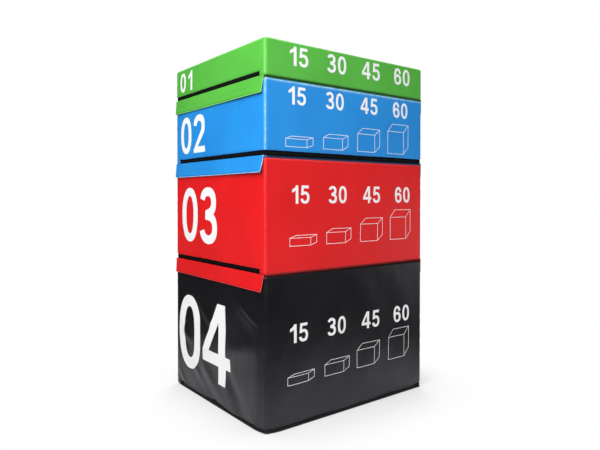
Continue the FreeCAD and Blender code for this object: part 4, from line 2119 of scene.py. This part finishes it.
@dataclass
class PrintedMarks:
    """White marks printed on two walls: the box's number, the heights in the set and a row of boxes."""

    shop: Shop
    cover: Cover
    layout: PrintLayout
    ink: float = 0.00025
    line: float = 0.0019
    figure_width: float = 0.1375
    figure_heights: tuple[float, ...] = (0.043, 0.0632, 0.1015, 0.1345)
    heights: tuple[str, ...] = ("15", "30", "45", "60")

    def build(self) -> None:
        """Prints both walls."""
        plan = self.layout
        loops = []
        for figure, start in zip(plan.number, plan.number_starts):
            _, shape = FIGURES[figure]
            loops.append(self.moved(shape, plan.number_height, start, plan.number_low))
        self.decal("number", self.cover.wall(Side.LEFT), loops)
        loops = []
        for pair, middle in zip(self.heights, plan.sizes_middles):
            loops += self.number_pair(pair, middle)
        for start, height in zip(plan.figures_starts, self.figure_heights):
            shape = box_figure(self.figure_width - self.line, height - self.line, self.line)
            loops.append(self.moved(shape, 1.0, start + self.line / 2, plan.figures_low + self.line / 2))
        self.decal("sizes", self.cover.wall(Side.FRONT), loops)

    def number_pair(self, pair: str, middle: float) -> list[list[Loop]]:
        """Two figures side by side about a middle line.

        Args:
            pair: The two figures.
            middle: The line's place on the wall.

        Returns:
            The loops of each figure.
        """
        scale = self.layout.sizes_height
        shapes = [FIGURES[figure] for figure in pair]
        gap = 0.15 * scale
        start = middle - (sum(width for width, _ in shapes) * scale + gap) / 2
        placed = []
        for width, shape in shapes:
            placed.append(self.moved(shape, scale, start, self.layout.sizes_low))
            start += width * scale + gap
        return placed

    def moved(self, shape: list[Loop], scale: float, start: float, low: float) -> list[Loop]:
        """A figure's loops, sized and put in place on its wall."""
        floor = self.cover.block.floor
        return [[(start + x * scale, floor + low + y * scale) for x, y in loop] for loop in shape]

    def decal(self, word: str, wall: Wall, shapes: list[list[Loop]]) -> None:
        """Lays figures on a wall as a thin film that follows its folds.

        Args:
            word: The print's word in names.
            wall: The wall.
            shapes: The loops of each figure.
        """
        columns, rows = wall.columns()[:, 0], wall.upper_rows(wall.zip_edge.start)[:, 0]
        name = f"{self.cover.block.name}_{word}_print"
        points, faces = [], []
        for shape in shapes:
            more, cells = filled(shape, columns, rows)
            faces += [[len(points) + i for i in cell] for cell in cells]
            points += more
        spots = np.array(points)
        mesh = bpy.data.meshes.new(name)
        mesh.from_pydata(wall.place(spots[:, 0], spots[:, 1], self.ink).tolist(), [], faces)
        piece = link_piece(name, mesh, self.shop.finishes.ink)
        thicken(piece, self.ink * 1.8)
        settle(piece, self.cover.block.body)


def filled(shape: list[Loop], columns: Array, rows: Array) -> tuple[Loop, list[list[int]]]:
    """Fills loops, holes left open, and cuts the faces along a wall's own grid.

    Args:
        shape: The outer loop and its holes.
        columns: The wall's upright grid lines.
        rows: The wall's level grid lines.

    Returns:
        Points on the wall and faces, which look outwards.
    """
    curve = bpy.data.curves.new("outline", "CURVE")
    curve.dimensions = "2D"
    curve.fill_mode = "BOTH"
    for loop in shape:
        spline = curve.splines.new("POLY")
        spline.points.add(len(loop) - 1)
        for point, (x, y) in zip(spline.points, loop):
            point.co = (x, y, 0.0, 1.0)
        spline.use_cyclic_u = True
    holder = into_scene(bpy.data.objects.new("outline", curve))
    graph = bpy.context.evaluated_depsgraph_get()
    mesh = bpy.data.meshes.new_from_object(holder.evaluated_get(graph))
    work = bmesh.new()
    work.from_mesh(mesh)
    xs, ys = np.array([point for loop in shape for point in loop]).T
    cuts = [((x, 0, 0), (1, 0, 0)) for x in columns if xs.min() < x < xs.max()]
    cuts += [((0, y, 0), (0, 1, 0)) for y in rows if ys.min() < y < ys.max()]
    for place, way in cuts:
        geometry = [*work.verts, *work.edges, *work.faces]
        bmesh.ops.bisect_plane(work, geom=geometry, plane_co=place, plane_no=way, dist=1e-7)
    for face in work.faces:
        face.normal_update()
    if sum(face.normal.z for face in work.faces) < 0:
        bmesh.ops.reverse_faces(work, faces=work.faces)
    work.verts.index_update()
    points = [(vertex.co.x, vertex.co.y) for vertex in work.verts]
    faces = [[vertex.index for vertex in face.verts] for face in work.faces]
    work.free()
    bpy.data.objects.remove(holder)
    bpy.data.curves.remove(curve)
    bpy.data.meshes.remove(mesh)
    return points, faces


@dataclass(frozen=True)
class Lamp:
    """One soft box light."""

    name: str
    place: tuple[float, float, float]
    aim: tuple[float, float, float]
    size: Span
    power: float


@dataclass
class Studio:
    """A pale floor, soft lights and the camera."""

    camera_place: tuple[float, float, float] = (-1.605, -2.046, 0.902)
    azimuth: float = -37.0
    drop: float = 0.76
    lens: float = 32.63
    shift: Span = (0.0215, -0.0352)
    ambient: float = 0.3
    gloss: float = 0.04
    shadow: Span = (0.0, 0.35)
    pale: float = 0.4
    sweep: Span = (0.05, 0.95)
    dull: float = 0.16
    floor_half: float = 9.0
    lamps: tuple[Lamp, ...] = (
        Lamp("key", (-1.75, -1.1, 2.15), (-0.45, -0.3, 1.0), (1.5, 1.5), 47.0),
        Lamp("fill", (0.9, -3.0, 2.0), (0, 0, 0.6), (1.8, 1.8), 4.0),
        Lamp("low", (2.6, -1.6, 0.5), (0.3, -0.37, 0.6), (0.8, 0.8), 3.6),
        Lamp("back", (2.4, 2.2, 2.2), (0, 0, 0.7), (2.2, 2.2), 42.0),
        Lamp("overhead", (0.0, 0.2, 4.2), (0, 0, 0), (3.0, 3.0), 100.0),
    )

    def build(self) -> None:
        """Makes everything round the object."""
        self.world()
        self.floor()
        for lamp in self.lamps:
            self.light(lamp)
        self.camera()
        bpy.context.scene.view_settings.view_transform = "Standard"

    def seen(self, graph: Graph) -> Sock:
        """1 for what the camera sees straight or through glass, less for what it sees mirrored.

        Args:
            graph: The tree that asks.

        Returns:
            The share.
        """
        camera, glossy, glass = (graph.node("ShaderNodeLightPath", out=f"Is {word} Ray")
                                 for word in ("Camera", "Glossy", "Transmission"))
        return camera.most(glossy * self.gloss).most(glass)

    def world(self) -> None:
        """Even light all round, white to the eye."""
        world = bpy.data.worlds.new("studio")
        bpy.context.scene.world = world
        world.use_nodes = True
        graph = Graph(world.node_tree)
        lit = graph.node("ShaderNodeLightPath", out="Is Diffuse Ray") * self.ambient
        inputs = {"Color": WHITE, "Strength": self.seen(graph).most(lit)}
        light = graph.node("ShaderNodeBackground", inputs=inputs)
        graph.node("ShaderNodeOutputWorld", inputs={"Surface": light})

    def floor(self) -> None:
        """A pale floor that keeps the shadow near the boxes and runs out to white."""
        half = self.floor_half
        mesh = bpy.data.meshes.new("floor")
        corners = [(-half, -half, 0), (half, -half, 0), (half, half, 0), (-half, half, 0)]
        mesh.from_pydata(corners, [], [(0, 1, 2, 3)])
        paint = Paint("studio_floor")
        away = self.off_base(paint)
        matt = paint.node("ShaderNodeBsdfDiffuse", inputs={"Color": (0.9, 0.9, 0.9, 1)})
        glow = paint.node("ShaderNodeEmission", inputs={"Color": WHITE, "Strength": 1.0})
        dim = paint.node("ShaderNodeEmission", inputs={"Color": WHITE, "Strength": self.gloss})
        dulled = self.dull + away.ease(*self.sweep) * (1 - self.dull)
        far = paint.node("ShaderNodeLightPath", out="Is Glossy Ray") * dulled
        mixed = paint.node("ShaderNodeMixShader", inputs={0: far, 1: matt, 2: dim})
        clear = self.pale + away.ease(*self.shadow) * (1 - self.pale)
        share = paint.node("ShaderNodeLightPath", out="Is Camera Ray") * clear
        mixed = paint.node("ShaderNodeMixShader", inputs={0: share, 1: mixed, 2: glow})
        paint.node("ShaderNodeOutputMaterial", inputs={"Surface": mixed})
        link_piece("studio_floor", mesh, paint.material)

    def off_base(self, paint: Paint) -> Sock:
        """How far a point of the floor is from the lowest box.

        Args:
            paint: The floor's material.

        Returns:
            The distance.
        """
        low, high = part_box("black_base_panel")
        value = paint.place
        steps = {"ABSOLUTE": low, "SUBTRACT": (high.x, high.y, 0), "MAXIMUM": (0, 0, 0)}
        for operation, other in steps.items():
            inputs = {0: value, 1: tuple(other)}
            value = paint.node("ShaderNodeVectorMath", {"operation": operation}, inputs)
        return paint.node("ShaderNodeVectorMath", {"operation": "LENGTH"}, {0: value}, "Value")

    def light(self, lamp: Lamp) -> None:
        """Hangs one light.

        Args:
            lamp: The light's place, aim, size and power.
        """
        data = bpy.data.lights.new(lamp.name, "AREA")
        data.shape = "RECTANGLE"
        data.size, data.size_y = lamp.size
        data.energy = lamp.power
        made = into_scene(bpy.data.objects.new(lamp.name, data))
        made.location = lamp.place
        way = Vector(lamp.aim) - Vector(lamp.place)
        made.rotation_euler = way.to_track_quat("-Z", "Y").to_euler()

    def camera(self) -> None:
        """Stands the camera where the photograph was taken."""
        data = bpy.data.cameras.new("camera")
        data.sensor_width = 36.0
        data.lens = self.lens
        data.shift_x, data.shift_y = self.shift
        made = into_scene(bpy.data.objects.new("camera", data))
        made.location = self.camera_place
        made.rotation_euler = Euler((QUARTER - math.radians(self.drop), 0.0, math.radians(self.azimuth)))
        bpy.context.scene.camera = made


LAYOUTS = {
    BoxName.GREEN: PrintLayout("01", 0.042, 0.0885, (-0.326, -0.246), 0.0585, 0.075,
                               (-0.288, -0.090, 0.109, 0.309)),
    BoxName.BLUE: PrintLayout("02", 0.051, 0.1695, (-0.320, -0.193), 0.2085, 0.0705,
                              (-0.297, -0.100, 0.098, 0.298), 0.0445, (-0.3535, -0.163, 0.0277, 0.2152)),
    BoxName.RED: PrintLayout("03", 0.095, 0.248, (-0.309, -0.133), 0.2745, 0.0715,
                             (-0.280, -0.084, 0.114, 0.314), 0.1087, (-0.334, -0.146, 0.045, 0.232)),
    BoxName.BLACK: PrintLayout("04", 0.105, 0.341, (-0.342, -0.110), 0.331, 0.0735,
                               (-0.288, -0.090, 0.109, 0.309), 0.169,
                               (-0.3455, -0.1545, 0.0265, 0.2215)),
}

BLACK_FOLDS = {
    Side.LEFT: (
        (-0.347, 0.082, -0.262, 0.032, 0.0034, 0.011),
        (-0.320, 0.048, -0.245, 0.030, 0.0022, 0.008),
        (-0.210, 0.140, -0.075, 0.064, 0.0034, 0.017),
        (-0.110, 0.150, 0.090, 0.040, 0.0058, 0.030),
        (-0.100, 0.060, -0.030, 0.036, 0.0018, 0.008),
        (0.095, 0.175, 0.226, 0.034, -0.0060, 0.032),
        (0.270, 0.055, 0.322, 0.032, 0.0030, 0.009),
        (0.200, 0.476, 0.276, 0.435, 0.0032, 0.008),
        (0.270, 0.438, 0.334, 0.408, 0.0028, 0.007),
        (0.150, 0.490, 0.320, 0.410, 0.0026, 0.030),
        (0.100, 0.268, 0.345, 0.330, 0.0040, 0.040),
        (-0.146, 0.440, -0.020, 0.340, 0.0046, 0.024),
        (-0.300, 0.285, -0.205, 0.235, 0.0040, 0.022),
    ),
    Side.RIGHT: (
        (0.345, 0.095, 0.250, 0.036, 0.0026, 0.014),
        (0.230, 0.190, 0.060, 0.060, 0.0030, 0.026),
        (-0.040, 0.130, -0.200, 0.045, -0.0028, 0.030),
        (-0.335, 0.100, -0.270, 0.040, 0.0022, 0.012),
        (-0.180, 0.455, -0.310, 0.390, 0.0024, 0.020),
        (0.170, 0.420, 0.020, 0.330, 0.0028, 0.026),
    ),
    Side.BACK: (
        (-0.420, 0.110, -0.300, 0.045, 0.0026, 0.016),
        (-0.230, 0.210, -0.020, 0.070, 0.0032, 0.030),
        (0.120, 0.160, 0.290, 0.050, -0.0028, 0.032),
        (0.415, 0.120, 0.350, 0.045, 0.0024, 0.014),
        (0.180, 0.490, 0.340, 0.420, 0.0026, 0.022),
        (-0.260, 0.440, -0.100, 0.360, 0.0028, 0.028),
    ),
}

BLACK_CREASES = {side: tuple(Crease(row[:2], row[2:4], *row[4:]) for row in rows)
                 for side, rows in BLACK_FOLDS.items()}

CURLS = {BoxName.GREEN: 0.0025, BoxName.BLUE: 0.0065, BoxName.RED: 0.0065}

SLACKS = {
    BoxName.GREEN: Slack(seed=3, top_crown=0.0012, swell=0.0004),
    BoxName.BLUE: Slack(seed=5, swell=0.0004),
    BoxName.RED: Slack(seed=8, crown=0.0018, swell=0.0006, pucker=0.0005, blunt=0.0025),
    BoxName.BLACK: Slack(seed=11, crown=0.0022, swell=0.0014, ruffle=0.00018, creases=BLACK_CREASES),
}

NEAR_ENDS = {Side.LEFT: 1, Side.FRONT: -1, Side.RIGHT: 0, Side.BACK: 0}

PRESSES = {"black_box": CornerPress(corner=(-0.45, -0.375), top=0.6, depth=0.0145)}

SEWING = {
    # rim_rub widens the painted highlight along the top rim.
    BoxName.BLUE: CoverSizes(rim_rub=0.0062),
    BoxName.RED: CoverSizes(rim_rub=0.0045),
    BoxName.BLACK: CoverSizes(seam_roll=0.0009, droop=0.0105),
}


def build_box(shop: Shop, box: BoxName) -> None:
    """Dresses one box: foam, cover, zip, prints, fastening tape and flaps.

    Args:
        shop: Finishes and tools.
        box: Which box.
    """
    block = Block.read(box.value)
    cover = Cover(shop, block, box, SLACKS[box], SEWING.get(box, CoverSizes()))
    foam = FoamBlock(shop, block, corner=FoamBlock.corner + 3 * cover.slack.blunt).build()
    cover.build(foam)
    ZipClosure(shop, block).build()
    PrintedMarks(shop, cover, LAYOUTS[box]).build()
    if block.has_loops:
        LoopTape(shop, cover, box).build()
    if block.has_flaps:
        for side in END_WALLS:
            Flap(shop, block, box, side, curl=CURLS[box] if side is Side.LEFT else 0.0).build()


def main() -> None:
    """Builds the four boxes and the studio, and reports each piece."""
    logging.basicConfig(level=logging.INFO, format="%(message)s")
    shop = Shop(Finishes.build(), StitchTool(), WireTool())
    for box in BoxName:
        build_box(shop, box)
    Studio().build()


if __name__ == "__main__":
    main()
